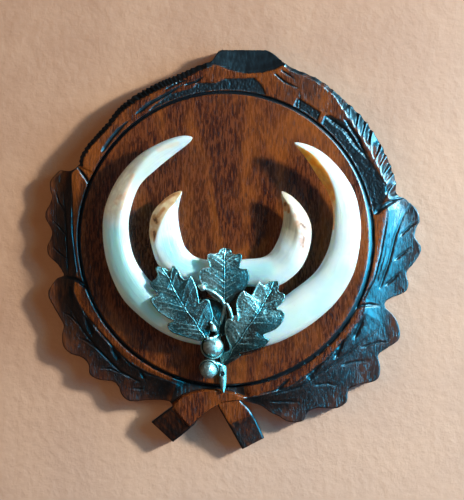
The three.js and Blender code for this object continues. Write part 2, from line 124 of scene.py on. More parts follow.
# Carved lines, as (points, width, depth), each from its deep end to its fine end
CUTS = [
    # upper left leaf: its overlap with the rim, its inner edge, midrib and veins
    ([(-82, 33), (-84, 36.5), (-86.5, 40), (-90, 44)], 1.1, 1.7),
    ([(-88, -24.5), (-90, -14), (-92, 2.5), (-92.5, 23.5), (-93.5, 40)], 0.72, 0.8),
    ([(-95, -21.5), (-96, 5.5), (-97, 22), (-99, 33)], 0.79, 0.9),
    ([(-96, 2), (-101, 8), (-106, 12)], 0.58, 0.7),
    ([(-97, 16), (-101, 23), (-103, 30)], 0.58, 0.7),
    ([(-95.5, -12), (-101, -8), (-105, -4)], 0.58, 0.7),
    # lower left leaf
    ([(-83, -29.5), (-86.5, -26.5), (-90.5, -24), (-95, -23), (-98.5, -23.5)], 1.8, 1.8),
    (
        [(-35, -85), (-48.5, -80.5), (-57.5, -75.5), (-69.5, -63), (-81.5, -49), (-89, -38.5), (-92, -30.5)],
        0.65, 0.7,
    ),
    ([(-94, -28), (-92, -38.5)], 1.28, 1.2),
    ([(-80, -58), (-85, -45)], 2.2, 1.6),
    ([(-64, -73), (-69.5, -63.5)], 2.2, 1.6),
    ([(-49, -84), (-52, -79)], 1.28, 1.2),
    ([(-52, -86), (-63.5, -80), (-77, -66.5), (-86.5, -54.5), (-93.5, -42), (-97, -38.5)], 0.86, 1),
    ([(-77, -66.5), (-83, -62), (-89, -59)], 0.65, 0.8),
    ([(-63.5, -81), (-69.5, -78), (-75.5, -78)], 0.65, 0.8),
    ([(-50, -90.5), (-57.5, -90)], 0.65, 0.8),
    ([(-88, -52), (-94, -46), (-99, -44)], 0.58, 0.7),
    # lower right leaf
    ([(77.5, -42), (81.5, -40), (86.5, -39.5), (92.5, -40)], 1.28, 1.6),
    ([(77, -59.5), (83.5, -45.5)], 2, 1.6),
    ([(65.5, -71.5), (71.5, -59)], 2, 1.6),
    ([(49, -84.5), (57.5, -74)], 2, 1.6),
    ([(31, -90.5), (39, -83)], 1.28, 1.4),
    ([(20.5, -93), (38.5, -89), (56.5, -76), (68.5, -64), (78.5, -51.5), (84.5, -43)], 0.65, 0.7),
    ([(26.5, -93.5), (44.5, -89), (59.5, -78.5), (74.5, -68), (91, -54.5), (97, -50)], 0.94, 1.1),
    ([(81.5, -65.5), (92.5, -62), (100, -62)], 0.72, 0.9),
    ([(69.5, -76), (77.5, -74), (86.5, -73)], 0.72, 0.9),
    ([(53.5, -88), (61, -87), (68.5, -89)], 0.72, 0.9),
    ([(26.5, -98), (38.5, -98), (47.5, -98.5)], 0.72, 0.9),
    # upper right leaf
    ([(89.5, 14.5), (93.5, 18.5), (98.5, 22), (103, 24.5), (108.5, 25)], 1.9, 1.8),
    ([(82, -36.5), (89, -24.5), (93, -9.5), (95.5, 5.5), (98, 19)], 0.72, 0.8),
    ([(92.5, -29.5), (98, -14), (102, 2.5), (107, 14.5), (110, 18.5)], 1.2, 1.2),
    ([(105, 2), (110.5, 7), (116.5, 11)], 0.86, 1.1),
    ([(102, -12.5), (107.5, -8), (112, -4)], 0.86, 1.1),
    ([(96, -28), (101, -24), (105.5, -19)], 0.86, 1.1),
    ([(90, -27.5), (95, -9.5), (97, 2.5)], 0.65, 0.7),
    # long gouges and engraved lines of the rim
    ([(61, 73), (71.5, 65.5), (79, 55), (85, 48.5)], 1.8, 1.5),
    ([(71.5, 71.5), (79, 61), (84.5, 49)], 1.28, 1.4),
    ([(-74.5, 52), (-69.5, 59.5), (-64, 66), (-57.5, 72)], 1.6, 0.9),
    ([(-54, 75), (-45.5, 81.5), (-33.5, 88), (-24, 94)], 1.5, 0.9),
    ([(-36, 90), (-28, 94), (-22, 96)], 0.9, 1.0),
    ([(-24.5, 92.5), (-18, 94.5), (-13, 98)], 1.1, 1.2),
    ([(29, 99.5), (35.5, 94), (44.5, 90)], 0.86, 1),
    ([(33, 101.5), (42, 95.5)], 0.72, 0.9),
    ([(43.5, 77), (44.5, 84), (44, 90)], 0.43, 0.5),
]
# Lower border of the cap, and the corners that close its area above the plaque
CAP_ARC = [
    (-60, 105.5), (-9, 105.5), (-3.5, 104), (2.5, 101.5), (11.5, 99.5), (21.5, 100), (29.5, 102),
    (37, 106),
]
CAP_BEYOND = [(34, 130), (-60, 130)]
# Areas of the rim whose ground is punched
PUNCHED_TOP = [
    (-50, 72), (-44, 80), (-33.5, 87), (-20, 91), (-17, 94), (-6, 94), (-0.5, 96.5), (17, 97), (21.5, 93),
    (25, 85),
]
PUNCHED_CORNER = [(40, 79), (43, 85), (49, 81.5), (57, 76), (55, 70)]
PUNCHED_RIGHT = [
    (57, 68), (59.5, 74.5), (62.5, 74.5), (71.5, 70), (77.5, 63.5), (83.5, 53.5), (87.5, 46),
    (92.5, 38.5), (98.5, 29.5), (96.5, 25), (91, 15.5), (86, 13),
]
# Upper and lower border of the arch that the two crossed branches make
ARCH_TOP = [
    (-34, -100.5), (-30, -97), (-26.5, -94), (-21.5, -92), (-15.5, -90.5), (-6.5, -90), (5, -92),
    (14.5, -95.5),
]
ARCH_BOTTOM = [
    (10, -97.5), (2.5, -98), (-2.5, -99), (-6.5, -101.5), (-12.5, -105), (-17, -108.5), (-22, -114),
]
# Sawn ends of the crossed branches, as rows of (left x, z, right x, z) from the plaque to the tip
LEFT_STUB = [
    (-27, -95, -15, -105), (-32.5, -100.8, -21, -113), (-38.8, -105.6, -26.5, -118),
    (-45, -110.4, -32, -122.4),
]
RIGHT_STUB = [
    (-8, -92, 6, -92), (-4.5, -101, 9.5, -98), (-1.2, -107, 13.2, -101.5), (3, -114.5, 17.8, -108.8),
    (9.8, -126.8, 23, -120),
]

# Edges of the tusks from root to tip, as (x, z) of the outer edge and (x, z) of the inner edge
LEFT_LOWER_TUSK = [
    (-15, -63.5, -13, -44), (-27.5, -60.5, -21.5, -42), (-39.5, -55, -29.5, -38.5),
    (-51.5, -46, -38, -31.5), (-62, -35, -46.5, -23.5), (-70.5, -16, -54.5, -11.5),
    (-73.5, 3.5, -58, 4.5), (-72, 19, -57, 16.5), (-64, 36.5, -51.5, 31.5), (-51.5, 50, -42, 41),
    (-36, 58.5, -31.5, 49.5), (-25.5, 61.3, -24.5, 54.8), (-19.8, 60.8, -20, 58.6),
]
RIGHT_LOWER_TUSK = [
    (3, -66.5, 4, -46), (24, -64, 18, -42), (41, -57, 32, -36), (54, -48.5, 41.5, -29.5),
    (67, -36, 51.5, -21.5), (76, -20.5, 57.5, -13.5), (80, -2, 62, -2), (80, 12.5, 64, 14),
    (76.5, 27.5, 61, 27), (69, 40, 54, 38), (58, 51, 47.5, 48), (49, 55.8, 44, 52.3),
    (41, 57.7, 40.3, 56.3),
]
LEFT_UPPER_TUSK = [
    (-3, -30, -3, -13.5), (-17, -28, -14, -12), (-30, -23.5, -20, -9.5), (-40, -16, -24.5, -4.5),
    (-44.5, -4, -27, 3), (-45.7, 6, -28.3, 10), (-43.6, 15.7, -28.6, 16.5), (-37, 23.5, -28, 20.5),
    (-31.3, 27.3, -27, 24.5), (-26.7, 29, -26, 28),
]
RIGHT_UPPER_TUSK = [
    (1.5, -28, 1.5, -12.5), (16, -28.5, 12, -12), (30, -28.5, 21.5, -11), (41.3, -21.2, 27, -7.5),
    (47.5, -12.5, 31, -0.5), (50.9, 0.4, 33.3, 7), (50, 10.8, 34.3, 14), (45.5, 19, 34, 19.6),
    (39.5, 25.3, 33, 24.5), (33.4, 28.8, 32.8, 27.8),
]
# Where each tusk's front is ridged, from root (0) to tip (1): the crest's place, 1 at the outer edge and
# -1 at the inner edge, and how sharp a roof it makes, from 0 to 1
LEFT_LOWER_CREST = [(0, -0.3), (0.58, -0.36), (0.68, -0.1), (0.78, 0.4), (0.86, 0.7), (1, 0.7)]
LEFT_LOWER_ROOF = [(0, 0.1), (0.3, 0.35), (0.45, 0.6), (0.6, 0.75), (0.72, 0.7), (0.82, 0.4), (1, 0.3)]
RIGHT_LOWER_CREST = [
    (0, -0.6), (0.5, -0.9), (0.58, -0.88), (0.667, -0.5), (0.75, -0.1), (0.85, -0.08), (0.93, -0.2),
    (1, -0.3),
]
RIGHT_LOWER_ROOF = [(0, 0.05), (0.5, 0.15), (0.66, 0.55), (1, 0.5)]
LEFT_UPPER_CREST = [(0, 0.5), (0.44, 0.8), (0.556, 0.26), (0.667, -0.16), (0.778, -0.5), (1, -0.6)]
LEFT_UPPER_ROOF = [(0, 0.1), (0.35, 0.3), (0.5, 0.8), (1, 0.8)]
RIGHT_UPPER_CREST = [(0, 0.3), (0.556, 0.17), (0.667, -0.2), (0.778, -0.25), (0.889, -0.5), (1, -0.5)]
RIGHT_UPPER_ROOF = [(0, 0.1), (0.4, 0.2), (0.55, 0.65), (1, 0.65)]

# Leaves of the cover from base to tip, as (x, z) of the left margin, the midrib and the right margin
TOP_LEAF = [
    (-2.5, -38, -1, -39, 1, -38.5), (-8, -34, -1, -36, 5.5, -35.5), (-12.5, -29, -1, -32.5, 9.5, -31),
    (-15.5, -24.5, -1, -29.5, 12.5, -27), (-16, -20, -1, -26, 14, -22),
    (-13.5, -18, -1, -23, 12.5, -18.5), (-9.5, -17, -1, -20, 8, -18), (-10.5, -13.5, -1, -17, 8.5, -14),
    (-11, -10, -1, -14, 9.5, -10), (-8.5, -9, -1, -11.5, 7, -9), (-5, -9, -1, -9.5, 3.5, -9.5),
    (-4, -7, -0.5, -7.5, 3, -7), (-2, -5.5, -0.5, -5.3, 1, -5.5),
]
LEFT_LEAF = [
    (-16, -60.5, -12, -60, -10, -57.5), (-21.5, -58.5, -13.5, -57, -9.5, -53.5),
    (-29, -56, -15.5, -54.5, -9, -47.5), (-34.5, -53, -17, -52, -9, -40),
    (-34, -50.5, -18.5, -49, -10, -36.5), (-30.5, -48.5, -21, -46, -14, -36.5),
    (-36.5, -44.5, -23, -43.5, -16, -38), (-42.5, -40, -24.5, -41, -17, -33),
    (-44.5, -36.5, -26.5, -38, -18.5, -26.5), (-39.5, -33.5, -28.5, -34.5, -21, -22),
    (-43, -30, -30.5, -31, -24, -24.5), (-45, -27, -32, -28, -26.5, -22),
    (-42, -25, -33, -25.5, -28.5, -18), (-40.5, -22, -34, -23, -31.5, -16.5),
    (-41.5, -18.5, -35.5, -21, -33.5, -19), (-39.5, -16.5, -38, -17.5, -36.5, -17),
]
RIGHT_LEAF = [
    (-3, -75, -2, -76, -0.5, -76), (-2.5, -68.5, 0, -72.5, 4, -73), (2, -66.5, 2.5, -69.5, 8.5, -70),
    (2, -63, 4, -66, 8, -68), (0.5, -58, 6.5, -62.5, 14.5, -66), (-0.5, -52, 9, -59, 21.5, -64),
    (0.5, -48, 11, -55.5, 25.5, -60.5), (3, -47.5, 13, -52.5, 22, -57.5), (5.5, -49, 15, -50, 25, -55),
    (7, -46, 17, -47, 32, -51), (7, -39, 18.5, -44.5, 34.5, -46), (7.5, -33.5, 20, -42.5, 30.5, -42.5),
    (11, -31, 21.5, -39.5, 31.5, -39.5), (14.5, -34, 23, -37, 35, -35), (17, -30, 24.5, -34, 33, -32.5),
    (19.5, -25.5, 26, -31.5, 31, -31.5), (23, -27.5, 27, -28.5, 31.5, -27.5),
    (26, -25, 28, -25.5, 30.5, -25),
]
BACK_LEAF = [
    (-4, -58, -2.5, -58, -0.5, -57), (-8.5, -53.5, -4, -53.5, 0, -50),
    (-12, -48.5, -6.5, -48.5, 0, -42.5), (-15, -44, -8.5, -44, -2.5, -38.5),
    (-17, -39.5, -11, -39.5, -7, -36), (-16, -36, -13.5, -36, -11, -35),
]
# Each leaf with the heights of its midrib from base to tip, how far its margins hang below the midrib, how
# far its patina is rubbed off, from 0 to 1, and its lit side, whose margin gets a painted highlight, below 0
# for the left and above 0 for the right, and further from 0 where the two sides differ more and where the
# left half of the leaf is painted lighter as painted light
LEAVES = [
    (TOP_LEAF, (30, 33, 33.5, 32), 0.2, 0.26, -1.7),
    (LEFT_LEAF, (30, 33.5, 34, 33), 0.3, 0.08, 1),
    (RIGHT_LEAF, (20.5, 32, 34.5, 33.5, 32), 0.2, 0.24, -1),
    (BACK_LEAF, (27.5, 28.5, 28.5, 27), 0.8, 0.14, 1),
]
# Twigs of the cover, as (x, z, height) along each one
TWIGS = [
    [(-2, -76, 19.5), (-3, -70, 21), (-4, -62, 24), (-3.5, -52, 27), (-1, -42, 28.5), (-1, -37, 30)],
    [(-14, -29, 32.5), (-8, -31.5, 32.5), (-3.5, -35, 32.2), (-0.5, -39.5, 31)],
    [(0, -38, 32), (2, -41.5, 32.5), (3.5, -46, 32), (4.5, -51, 31)],
    [(-4, -57, 27), (-8, -59, 29.5), (-12, -59.5, 30.5)],
    [(-9.5, -49, 31.5), (-8, -51.5, 31), (-6.5, -54, 29), (-4, -56, 27)],
    [(-6, -59, 27), (-5, -56, 27), (-4, -53, 27)],
    [(-6, -74, 22.5), (-4, -75, 21), (-2, -76.5, 19.5)],
]
# Acorns: the middle of the cup's mouth, the nut's direction and its radius
ACORNS = [
    ((-8.2, -64.8, 24.4), (0.25, 0.30, 0.92), 6.1),
    ((-10.2, -76.8, 23.6), (-0.10, -0.52, 0.85), 4.9),
]
# Buds: the middle, and a point that the end looks towards
BUDS = [((-14, -29, 32.5), (-16, -28, 32.5)), ((-7.5, -53, 32.5), (-8, -50, 32.5))]
# Stem: the middle of its top, the step to each next row, its half width and its thickness along them
STEM_TOP = (-2.4, -74.5)
STEM_STEP = (0.18, -3.5)
STEM_HALF_WIDTHS = (2, 2.6, 2.4, 2.2, 1.6, 0.5)
STEM_THICKNESS = (3.4, 1.65)
# Hole of the nail: its middle, radius and depth
NAIL = (-2.1, -80.8)
NAIL_HOLE = 1.5
NAIL_HOLE_DEPTH = 2.6

# ---------------------------------------------------------------- colours, as linear red, green and blue
WOOD_DARK = (0.030, 0.006, 0.002)
WOOD_BROWN = (0.145, 0.036, 0.005)
WOOD_ORANGE = (0.34, 0.098, 0.010)
WOOD_PORE = (0.016, 0.005, 0.003)
STAIN_DARK = (0.006, 0.005, 0.005)
STAIN_BROWN = (0.032, 0.015, 0.009)
STAIN_BLACK = (0.004, 0.005, 0.007)
ENAMEL_LIGHT = (0.69, 0.90, 0.98)
ENAMEL_DEEP = (0.57, 0.81, 0.95)
ENAMEL_LINE = (0.52, 0.62, 0.58)
# painted shade: cyan standing in for sky light on the tusks' shaded sides
ENAMEL_CYAN_SHADE = (0.32, 0.83, 1.0)
TAN_DARK = (0.56, 0.41, 0.21)
TAN_LIGHT = (0.80, 0.70, 0.46)
DENTINE_ORANGE = (0.95, 0.38, 0.03)
DENTINE_YELLOW = (1.0, 0.62, 0.12)
OLIVE_LIGHT = (0.50, 0.47, 0.34)
OLIVE_DARK = (0.22, 0.20, 0.13)
TUSK_BROWN = (0.52, 0.25, 0.08)
TUSK_BLACK = (0.13, 0.055, 0.02)
TUSK_SPECK = (0.30, 0.26, 0.18)
PATINA_BRONZE = (0.056, 0.044, 0.034)
PATINA_TEAL = (0.048, 0.105, 0.100)
METAL_GREY = (0.27, 0.34, 0.29)
METAL_BRIGHT = (0.84, 0.90, 0.82)
STEEL_DARK = (0.010, 0.010, 0.011)
STEEL_RUST = (0.050, 0.042, 0.036)
# painted light and shade of the wall: darker towards the upper left, lighter towards the lower right
WALL_SHADED = (0.36, 0.212, 0.118)
WALL_LIT = (0.50, 0.365, 0.275)
WALL_PALE = (0.68, 0.49, 0.34)
# painted light: the wall glows faintly warm, which lifts its shadows
WALL_PAINTED_GLOW = (1.0, 0.24, 0.06)
BACKDROP_GREY = (0.62, 0.60, 0.57)
WORLD_WHITE = (1.0, 0.95, 0.90)

# ---------------------------------------------------------------- lights, backdrop and camera
# Lights: name, direction from the plaque, distance, size, power, colour and the rays that see the light
LIGHTS = [
    ("key", (0.80, -0.50, 0.30), 1.5, 0.16, 40, (1.0, 0.92, 0.82), "diffuse"),
    ("glint", (0.80, -0.50, 0.30), 1.5, 0.30, 30, (1.0, 1.0, 0.92), "glossy"),
    ("sky_sheen", (0.88, -0.44, 0.06), 1.2, 1.0, 105, (0.0, 0.48, 0.86), "glossy"),
    ("rim_sheen", (0.82, -0.30, 0.48), 1.3, 0.8, 75, (0.20, 0.70, 1.0), "glossy"),
    ("sky_fill", (0.70, -0.70, 0.30), 1.4, 0.6, 5, (0.42, 0.84, 1.0), "diffuse"),
    ("warm_fill", (-0.85, -0.55, 0.10), 1.6, 0.9, 5, (1.0, 0.62, 0.32), "diffuse"),
    ("front_fill", (-0.20, -1.0, 0.20), 1.8, 1.0, 1.2, (1.0, 0.90, 0.78), "diffuse"),
    ("behind", (-0.2, 1.0, 0.2), 1.8, 1.2, 14, (1.0, 0.97, 0.93), "diffuse"),
]
WORLD_STRENGTH = 0.06
# In metres: the wall's half size and its gap behind the plaque, the dome's radius, the camera's distance
# from the disc and its place right of and above the disc's middle, and the height that the picture shows
WALL_HALF = 0.6
WALL_GAP = 0.001
DOME_RADIUS = 6
CAMERA_DISTANCE = 1.5
CAMERA_RIGHT = 0.0036
CAMERA_UP = -0.0066
PICTURE_HEIGHT = 0.300


# ---------------------------------------------------------------- curves, distances and noise
NOISE_VALUES = 8192
NOISE_PRIMES = (73856093, 19349663, 83492791)


def curve(points, count, closed=False):
    """A smooth curve through points, with count points to each stretch between two of them."""
    points = np.asarray(points, float)
    if closed:
        around = np.concatenate([points[-1:], points, points[:2]])
    else:
        around = np.concatenate([2 * points[:1] - points[1:2], points, 2 * points[-1:] - points[-2:-1]])
    p0, p1, p2, p3 = (around[i:len(around) - 3 + i] for i in range(4))
    d0, d1, d2 = (
        np.maximum(np.linalg.norm(b - a, axis=1, keepdims=True), 1e-6) ** 0.5
        for a, b in ((p0, p1), (p1, p2), (p2, p3))
    )
    start = ((p1 - p0) / d0 - (p2 - p0) / (d0 + d1) + (p2 - p1) / d1) * d1
    end = ((p2 - p1) / d1 - (p3 - p1) / (d1 + d2) + (p3 - p2) / d2) * d1
    t = (np.arange(count) / count)[None, :, None]
    p1, p2, start, end = (a[:, None] for a in (p1, p2, start, end))
    found = p1 + start * t + (3 * (p2 - p1) - 2 * start - end) * t**2 + (2 * (p1 - p2) + start + end) * t**3
    found = found.reshape(-1, points.shape[1])
    return found if closed else np.concatenate([found, points[-1:]])


def smooth(value, low=0.0, high=1.0):
    """0 below low, 1 above high and a smooth change between them."""
    t = np.clip((value - low) / (high - low), 0, 1)
    return t * t * (3 - 2 * t)


def listed(table, position):
    """Straight-line value of a (position, value) table."""
    places, values = np.array(table, float).T
    return np.interp(position, places, values)


def near(x, z, line):
    """Distance from each (x, z) to a line of points, and the share of its length at the nearest place."""
    best = np.full(np.shape(x), np.inf)
    along = np.zeros(np.shape(x))
    run = 0.0
    for (x0, z0), (x1, z1) in zip(line, line[1:]):
        length = math.hypot(x1 - x0, z1 - z0)
        t = np.clip(((x - x0) * (x1 - x0) + (z - z0) * (z1 - z0)) / length**2, 0, 1)
        away = np.hypot(x - x0 - t * (x1 - x0), z - z0 - t * (z1 - z0))
        along = np.where(away < best, run + t * length, along)
        best = np.minimum(best, away)
        run += length
    return best, along / run


def inside(x, z, corners):
    """Distance into an area from its border: above 0 in the area and below 0 out of it."""
    within = np.zeros(np.shape(x), bool)
    border = list(corners) + [corners[0]]
    for (x0, z0), (x1, z1) in zip(border, border[1:]):
        if z0 != z1:
            crosses = (z0 > z) != (z1 > z)
            within ^= crosses & (x < x0 + (z - z0) * (x1 - x0) / (z1 - z0))
    return np.where(within, 1, -1) * near(x, z, border)[0]


def noise(x, y, z, size, seed=0):
    """Smooth noise from -1 to 1 whose spots are about size mm across, one number or one for each axis."""
    values = np.random.default_rng(seed).uniform(-1, 1, NOISE_VALUES)
    place = np.stack(np.broadcast_arrays(x, y, z), axis=-1) / np.asarray(size, float)
    cell = np.floor(place).astype(np.int64)
    part = place - cell
    part = part * part * (3 - 2 * part)
    total = 0.0
    for corner in itertools.product((0, 1), repeat=3):
        spot = (cell + corner) * NOISE_PRIMES
        mixed = spot[..., 0] ^ spot[..., 1] ^ spot[..., 2]
        weight = np.prod(np.where(corner, part, 1 - part), axis=-1)
        total = total + values[mixed % NOISE_VALUES] * weight
    return total


def hump(away, middle, width):
    """A smooth hump, 1 where away is at its middle."""
    return np.exp(-(((away - middle) / width) ** 2))


# ---------------------------------------------------------------- meshes
class Shell:
    """Points in millimetres as (x, z, height), faces and masks of one piece, gathered part by part."""

    def __init__(self):
        self.points = []
        self.faces = []
        self.masks = {}
        self.count = 0

    def add(self, points, faces, masks):
        for name, values in masks.items():
            self.masks.setdefault(name, []).append(np.broadcast_to(values, len(points)))
        self.points.append(points)
        self.faces += [[corner + self.count for corner in face] for face in faces]
        self.count += len(points)

    def add_rings(self, rings, first=None, last=None, **masks):
        """A closed body through rings of points, with a fan over the first ring and over the last."""
        rings = np.asarray(rings, float)
        rows, columns = rings.shape[:2]
        first = rings[0].mean(axis=0) if first is None else first
        last = rings[-1].mean(axis=0) if last is None else last
        points = np.concatenate([rings.reshape(-1, 3), [first, last]])
        row, column = np.meshgrid(np.arange(rows - 1), np.arange(columns), indexing="ij")
        here = row * columns + column
        beside = row * columns + (column + 1) % columns
        quads = np.stack([here, beside, beside + columns, here + columns], axis=-1).reshape(-1, 4)
        around = np.arange(columns)
        after = (around + 1) % columns
        start = np.full(columns, rows * columns)
        top = (rows - 1) * columns
        fans = np.concatenate([
            np.stack([start, after, around], axis=-1),
            np.stack([start + 1, top + around, top + after], axis=-1),
        ])
        # x, z and height are a right-handed frame, so faces that point outward enclose a volume above 0
        triangles = np.concatenate([quads[:, [0, 1, 2]], quads[:, [0, 2, 3]], fans])
        p, q, r = (points[triangles[:, i]] for i in range(3))
        turned_in = (p * np.cross(q, r)).sum() < 0
        faces = quads.tolist() + fans.tolist()
        if turned_in:
            faces = [face[::-1] for face in faces]
        padded = {}
        for name, values in masks.items():
            values = np.broadcast_to(values, (rows, columns))
            padded[name] = np.concatenate([values.ravel(), [values[0].mean(), values[-1].mean()]])
        self.add(points, faces, padded)

    def finish(self, name, material, slot, *nodes):
        points = np.concatenate(self.points)
        data = bpy.data.meshes.new(name)
        placed = np.stack([points[:, 0], -points[:, 2], points[:, 1]], axis=-1) * MM
        data.from_pydata(placed.tolist(), [], self.faces)
        for mask, values in self.masks.items():
            layer = data.attributes.new(mask, "FLOAT", "POINT")
            layer.data.foreach_set("value", np.concatenate(values).astype(np.float32))
        data.shade_smooth()
        data.validate()
        data.materials.append(material)
        piece = bpy.data.objects.new(name, data)
        bpy.context.scene.collection.objects.link(piece)
        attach(piece, "root")
        if nodes:
            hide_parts(*nodes)
        return piece


# ---------------------------------------------------------------- node materials
# Heights of the bumps, in metres
GRAIN_BUMP = 0.0002
CAST_BUMP = 0.0003
STEEL_BUMP = 0.0001
PLASTER_BUMP = 0.002


class Nodes:
    """Short ways to build a material's nodes."""

    def __init__(self, name):
        self.material = bpy.data.materials.new(name)
        self.material.use_nodes = True
        self.tree = self.material.node_tree
        self.tree.nodes.clear()
        self.output = self.tree.nodes.new("ShaderNodeOutputMaterial")
        self.coordinates = self.tree.nodes.new("ShaderNodeTexCoord").outputs["Object"]

    def link(self, value, socket):
        if isinstance(value, bpy.types.NodeSocket):
            self.tree.links.new(value, socket)
        else:
            socket.default_value = value

    def node(self, kind, inputs, **settings):
        made = self.tree.nodes.new("ShaderNode" + kind)
        for key, value in settings.items():
            setattr(made, key, value)
        for key, value in inputs.items():
            self.link(value, made.inputs[key])
        return made

    def mask(self, name):
        return self.node("Attribute", {}, attribute_name=name).outputs["Fac"]

    def noise(self, scale, stretch=(1, 1, 1), detail=3.0, roughness=0.55, distortion=0.0):
        """Noise with scale spots to a metre, longer along the axes whose stretch is small."""
        place = self.node("Mapping", {"Vector": self.coordinates, "Scale": stretch}).outputs[0]
        inputs = {"Vector": place, "Scale": scale, "Detail": detail, "Roughness": roughness}
        inputs["Distortion"] = distortion
        return self.node("TexNoise", inputs).outputs["Fac"]

    def cells(self, scale):
        """Distance from the middle of the nearest of scale cells to a metre."""
        return self.node("TexVoronoi", {"Vector": self.coordinates, "Scale": scale}).outputs["Distance"]

    def ramp(self, value, low, high, start=0.0, end=1.0):
        """start where value is below low, end where it is above high, and a smooth change between."""
        inputs = {"Value": value, "From Min": low, "From Max": high, "To Min": start, "To Max": end}
        return self.node("MapRange", inputs, interpolation_type="SMOOTHSTEP").outputs["Result"]

    def add(self, a, b):
        return self.node("Math", {0: a, 1: b}, operation="ADD").outputs[0]

    def less(self, a, b):
        return self.node("Math", {0: a, 1: b}, operation="SUBTRACT").outputs[0]

    def times(self, a, b):
        return self.node("Math", {0: a, 1: b}, operation="MULTIPLY").outputs[0]

    def mix(self, share, a, b):
        """Colour a where share is 0 and colour b where it is 1."""
        made = self.node("Mix", {}, data_type="RGBA")
        self.link(share, made.inputs[0])
        for value, socket in ((a, made.inputs[6]), (b, made.inputs[7])):
            self.link(value if isinstance(value, bpy.types.NodeSocket) else (*value, 1), socket)
        return made.outputs[2]

    def bump(self, height, strength, distance):
        return self.node("Bump", {"Height": height, "Strength": strength, "Distance": distance}).outputs[0]

    def finish(self, **inputs):
        """The shader with these inputs, whose names have _ for a space, and the material."""
        named = {name.replace("_", " "): value for name, value in inputs.items()}
        shader = self.node("BsdfPrincipled", named)
        self.tree.links.new(shader.outputs[0], self.output.inputs["Surface"])
        return self.material


def varnished_wood():
    """Open-pored wood with its grain upright, varnished, and stained black where the stain mask says."""
    m = Nodes("varnished_wood")
    streaks = m.noise(1100, (1, 1, 0.15), detail=4, roughness=0.62, distortion=0.5)
    figure = m.noise(26, (1, 1, 0.35), distortion=1.6)
    pores = m.ramp(m.noise(1350, (1, 1, 0.12), detail=2, roughness=0.7), 0.54, 0.66)
    bare = m.mix(m.ramp(streaks, 0.40, 0.62), WOOD_DARK, WOOD_BROWN)
    bare = m.mix(m.ramp(figure, 0.40, 0.70, 0, 0.56), bare, WOOD_ORANGE)
    bare = m.mix(m.times(pores, 0.7), bare, WOOD_PORE)
    mask = m.mask("stain")
    patches = m.noise(140, (1, 1, 0.5), detail=4)
    stain = m.ramp(m.add(mask, m.times(m.less(patches, 0.5), 0.55)), 0.18, 0.82)
    dark = m.mix(m.ramp(streaks, 0.35, 0.75), STAIN_DARK, STAIN_BROWN)
    colour = m.mix(stain, bare, dark)
    colour = m.mix(m.ramp(mask, 0.88, 1.0), colour, STAIN_BLACK)
    gloss = m.add(m.ramp(streaks, 0.3, 0.7, 0.24, 0.30), m.times(stain, 0.07))
    relief = m.less(m.times(streaks, 0.5), m.times(pores, 0.6))
    relief = m.add(relief, m.times(m.noise(2200, (1, 1, 0.16)), 0.40))
    strength = m.less(m.ramp(mask, 0.45, 0.65, 0.30, 0.66), m.ramp(mask, 0.86, 1.0, 0, 0.55))
    return m.finish(Base_Color=colour, Roughness=gloss, Normal=m.bump(relief, strength, GRAIN_BUMP))


def tusk_ivory():
    """Enamel with fine growth lines, with wear to yellow dentine, stained brown and tinted with a painted
    cyan shade where the masks say.
    """
    m = Nodes("tusk_ivory")
    lines = m.mask("lines")
    colour = m.mix(m.ramp(m.noise(60), 0.35, 0.7), ENAMEL_LIGHT, ENAMEL_DEEP)
    colour = m.mix(m.ramp(lines, 0.55, 1.0, 0, 0.22), colour, ENAMEL_LINE)
    # painted shade: a cyan tint where the mask says, standing in for blue sky light in the shade
    colour = m.mix(m.mask("cyan_shade"), colour, ENAMEL_CYAN_SHADE)
    tan = m.mix(m.ramp(m.noise(300, detail=4), 0.35, 0.7), TAN_DARK, TAN_LIGHT)
    colour = m.mix(m.mask("tan"), colour, tan)
    dentine = m.mix(m.ramp(m.noise(240, detail=4), 0.35, 0.7), DENTINE_ORANGE, DENTINE_YELLOW)
    colour = m.mix(m.mask("dentine"), colour, dentine)
    # olive: a grey fleck of the tusk, and on one tusk's inner side partly painted shade
    olive_and_shade = m.mix(m.ramp(lines, 0.3, 0.8), OLIVE_LIGHT, OLIVE_DARK)
    colour = m.mix(m.mask("olive_and_shade"), colour, olive_and_shade)
    brown = m.times(m.ramp(m.noise(320, detail=4), 0.30, 0.65, 0.6, 1.2), m.mask("brown"))
    colour = m.mix(m.ramp(brown, 0.0, 0.8, 0, 0.9), colour, TUSK_BROWN)
    colour = m.mix(m.ramp(brown, 0.65, 1.15), colour, TUSK_BLACK)
    specks = m.ramp(m.cells(420), 0.03, 0.10, 0.5, 0)
    speckled = m.ramp(m.noise(50, detail=2), 0.45, 0.6)
    colour = m.mix(m.times(specks, speckled), colour, TUSK_SPECK)
    relief = m.add(m.times(lines, 0.8), m.times(m.noise(700), 0.4))
    gloss = m.add(m.ramp(m.noise(150), 0.3, 0.7, 0.32, 0.42), m.times(brown, 0.35))
    return m.finish(
        Base_Color=colour, Roughness=gloss, Normal=m.bump(relief, 0.35, GRAIN_BUMP),
        Specular_IOR_Level=0.35, Subsurface_Weight=0.35, Subsurface_Scale=1.0,
        Subsurface_Radius=(0.006, 0.004, 0.002),
    )


